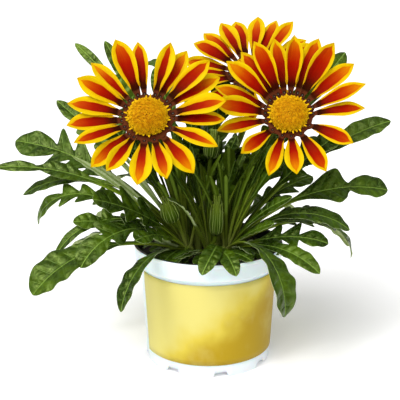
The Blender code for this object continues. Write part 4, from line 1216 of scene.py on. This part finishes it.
def grow_disc(place, seed):
    """The dome, the spiral of florets on it, each a golden angle on from the last, and the rim."""
    draw = np.random.default_rng(seed)

    def dome_height(share):
        """A quarter of an ellipse: highest in the middle, and low at the dome's edge."""
        return DISC_FOOT + 0.6 * MM + (DISC_HEIGHT - 0.6 * MM) * np.sqrt(1 - 0.98 * share**2)

    share = np.linspace(1, 0.02, 24)[:, None]
    dome = wheel(ACROSS_DOME * DISC_RADIUS * share, turns(96), dome_height(share))
    skirt = wheel(0.9 * ACROSS_DOME * DISC_RADIUS, turns(96), DISC_FOOT)
    rings = set_on(np.concatenate([skirt[None], dome]), place)
    parts = [closed_rings(rings, tone=0.3)]

    k = np.arange(FLORETS)
    spread = np.sqrt((k + 0.5) / FLORETS) * ACROSS_DOME
    out = wheel(0.55 * spread, GOLDEN_TURN * k, np.sqrt(1 - 0.98 * spread**2) + 0.15)
    out = out + draw.normal(0, 0.07, (FLORETS, 3))
    spots = wheel(DISC_RADIUS * spread, GOLDEN_TURN * k, dome_height(spread) - 0.1 * MM)
    size = (0.70 + 0.30 * spread) * MM * draw.uniform(0.85, 1.15, FLORETS)
    tall = 1.0 + 0.5 * spread + draw.uniform(-0.25, 0.35, FLORETS)
    spin = draw.uniform(0, 6.3, FLORETS)
    tone = draw.uniform(0, 1, FLORETS)
    parts.append(set_florets(0.35, out, spin, size, tall, spots, place, spread, tone))

    for ring, (count, reach, steep, tall) in enumerate(RIM_RINGS):
        turn = turns(count) + np.pi * ring / count + draw.normal(0, 0.03, count)
        out = wheel(1.0, turn, steep) + draw.normal(0, 0.06, (count, 3))
        spots = wheel(reach * DISC_RADIUS, turn, DISC_FOOT + (1.3 + 1.2 * ring) * MM)
        spin = draw.uniform(0, 6.3, count)
        size = draw.uniform(1.0, 1.35, count) * MM
        tone = draw.uniform(0.5, 1, count)
        parts.append(set_florets(0.9, out, spin, size, tall, spots, place, np.full(count, 1.1), tone))
    return parts + grow_rim_lobes(place, draw)


def grow_rim_lobes(place, draw):
    """The rim's long pointed lobes: small leaf-shaped sheets that lie out over the petals' feet."""
    thick, inner = 0.2 * MM, 0.78 * DISC_RADIUS
    t = np.linspace(0, 1, 9)[:, None]
    v = np.linspace(-1, 1, 5)[None, :]
    lobes = []
    for k in range(RIM_LOBES):
        heading = 2 * np.pi * (k + draw.uniform(-0.3, 0.3)) / RIM_LOBES
        radius = inner + (DISC_TIPS * draw.uniform(0.88, 1.02) - inner) * t
        width = draw.uniform(1.0, 1.6) * MM * (1 - t) ** 0.6 + 0.05 * MM
        height = HUB_HIGH + (2.6 - 1.2 * t + draw.uniform(0.3, 2.0) * t**2) * MM + 0.35 * MM * np.abs(v)
        middle = set_on(wheel(radius, heading + v * width / radius, height), place)
        facts = {"along": 0.75 + 0.25 * t, "across": 1.2, "tone": draw.uniform(0.6, 1)}
        lobes.append(closed_sheet(middle, thick, thick, back=0, **facts))
    return lobes


disc = Nodes("disc_florets", roughness=0.6, specular_ior_level=0.05)
tip, ring = disc.grown()
grain = disc.noise(900.0, 2.0)
inner = disc.mix(disc.layer("tone"), (0.55, 0.22, 0.0), (0.74, 0.39, 0.002))
outer = disc.mix(disc.layer("tone"), (0.62, 0.33, 0.001), (0.78, 0.49, 0.004))
floret = disc.mix(disc.ease(ring, 0.55, 1.1), inner, outer)
# Each floret is dark brown low down, as is the dome beneath: painted shade in the crevices.
disc_finish = disc.finish(
    base_color=disc.mix(disc.ease(tip, 0.35, 0.95), (0.22, 0.055, 0.001), floret),
    normal=disc.bump(grain, 0.0002),
)
for k, (name, place) in enumerate(BLOOM_PLACES.items()):
    florets = grow_disc(place, 20 + k)
    make_piece(f"bloom_{name}_florets", florets, [disc_finish], [f"bloom_{name}_disc"])

# The studio.
# A plain pale floor that glows faintly, and soft lights: a large one high on the left, a small one beside
# it for the leaves' gloss, a wide weak one in front, and white all round. The camera looks down a little.
CAMERA_SPOT = (-6.6 * MM, -650 * MM, 304 * MM)
CAMERA_PITCH, LENS, SENSOR = 15.0, 76.05, 36.0
SKY_STRENGTH = 0.34

bpy.ops.mesh.primitive_plane_add(size=60)
floor = bpy.context.object
floor.name = "floor"
glow = {"emission_color": (1.0, 1.0, 1.0, 1.0), "emission_strength": 0.13}
floor_white = Nodes("floor_white", roughness=0.9, **glow)
tint = floor_white.noise(2.0, 2.0)
floor.data.materials.append(floor_white.finish(
    base_color=floor_white.mix(tint, (0.93, 0.93, 0.93), (0.95, 0.95, 0.95)),
))


def soft_sun(name, toward, spread, strength):
    """A broad distant lamp that shines the way it is told: its spread, in degrees, softens the shadows."""
    lamp = bpy.data.lights.new(name, "SUN")
    lamp.angle, lamp.energy = np.radians(spread), strength
    light = bpy.data.objects.new(name, lamp)
    light.rotation_euler = Vector(toward).to_track_quat("-Z", "Y").to_euler()
    bpy.context.scene.collection.objects.link(light)


for sun in (
    ("key", (0.52, 0.52, -1.0), 56, 2.5),
    ("glint", (0.5, 0.55, -1.0), 13, 0.75),
    ("fill", (-0.25, 1.1, -1.0), 80, 1.0),
):
    soft_sun(*sun)

sky = bpy.data.worlds.new("sky")
bpy.context.scene.world = sky
sky.use_nodes = True
background = sky.node_tree.nodes["Background"]
background.inputs["Color"].default_value = (1.0, 1.0, 1.0, 1.0)
background.inputs["Strength"].default_value = SKY_STRENGTH
bpy.context.scene.view_settings.view_transform = "Standard"

lens = bpy.data.cameras.new("photo_view")
lens.sensor_width, lens.lens = SENSOR, LENS
camera = bpy.data.objects.new("photo_view", lens)
camera.location = CAMERA_SPOT
camera.rotation_euler = (np.radians(90 - CAMERA_PITCH), 0, 0)
bpy.context.scene.collection.objects.link(camera)
bpy.context.scene.camera = camera
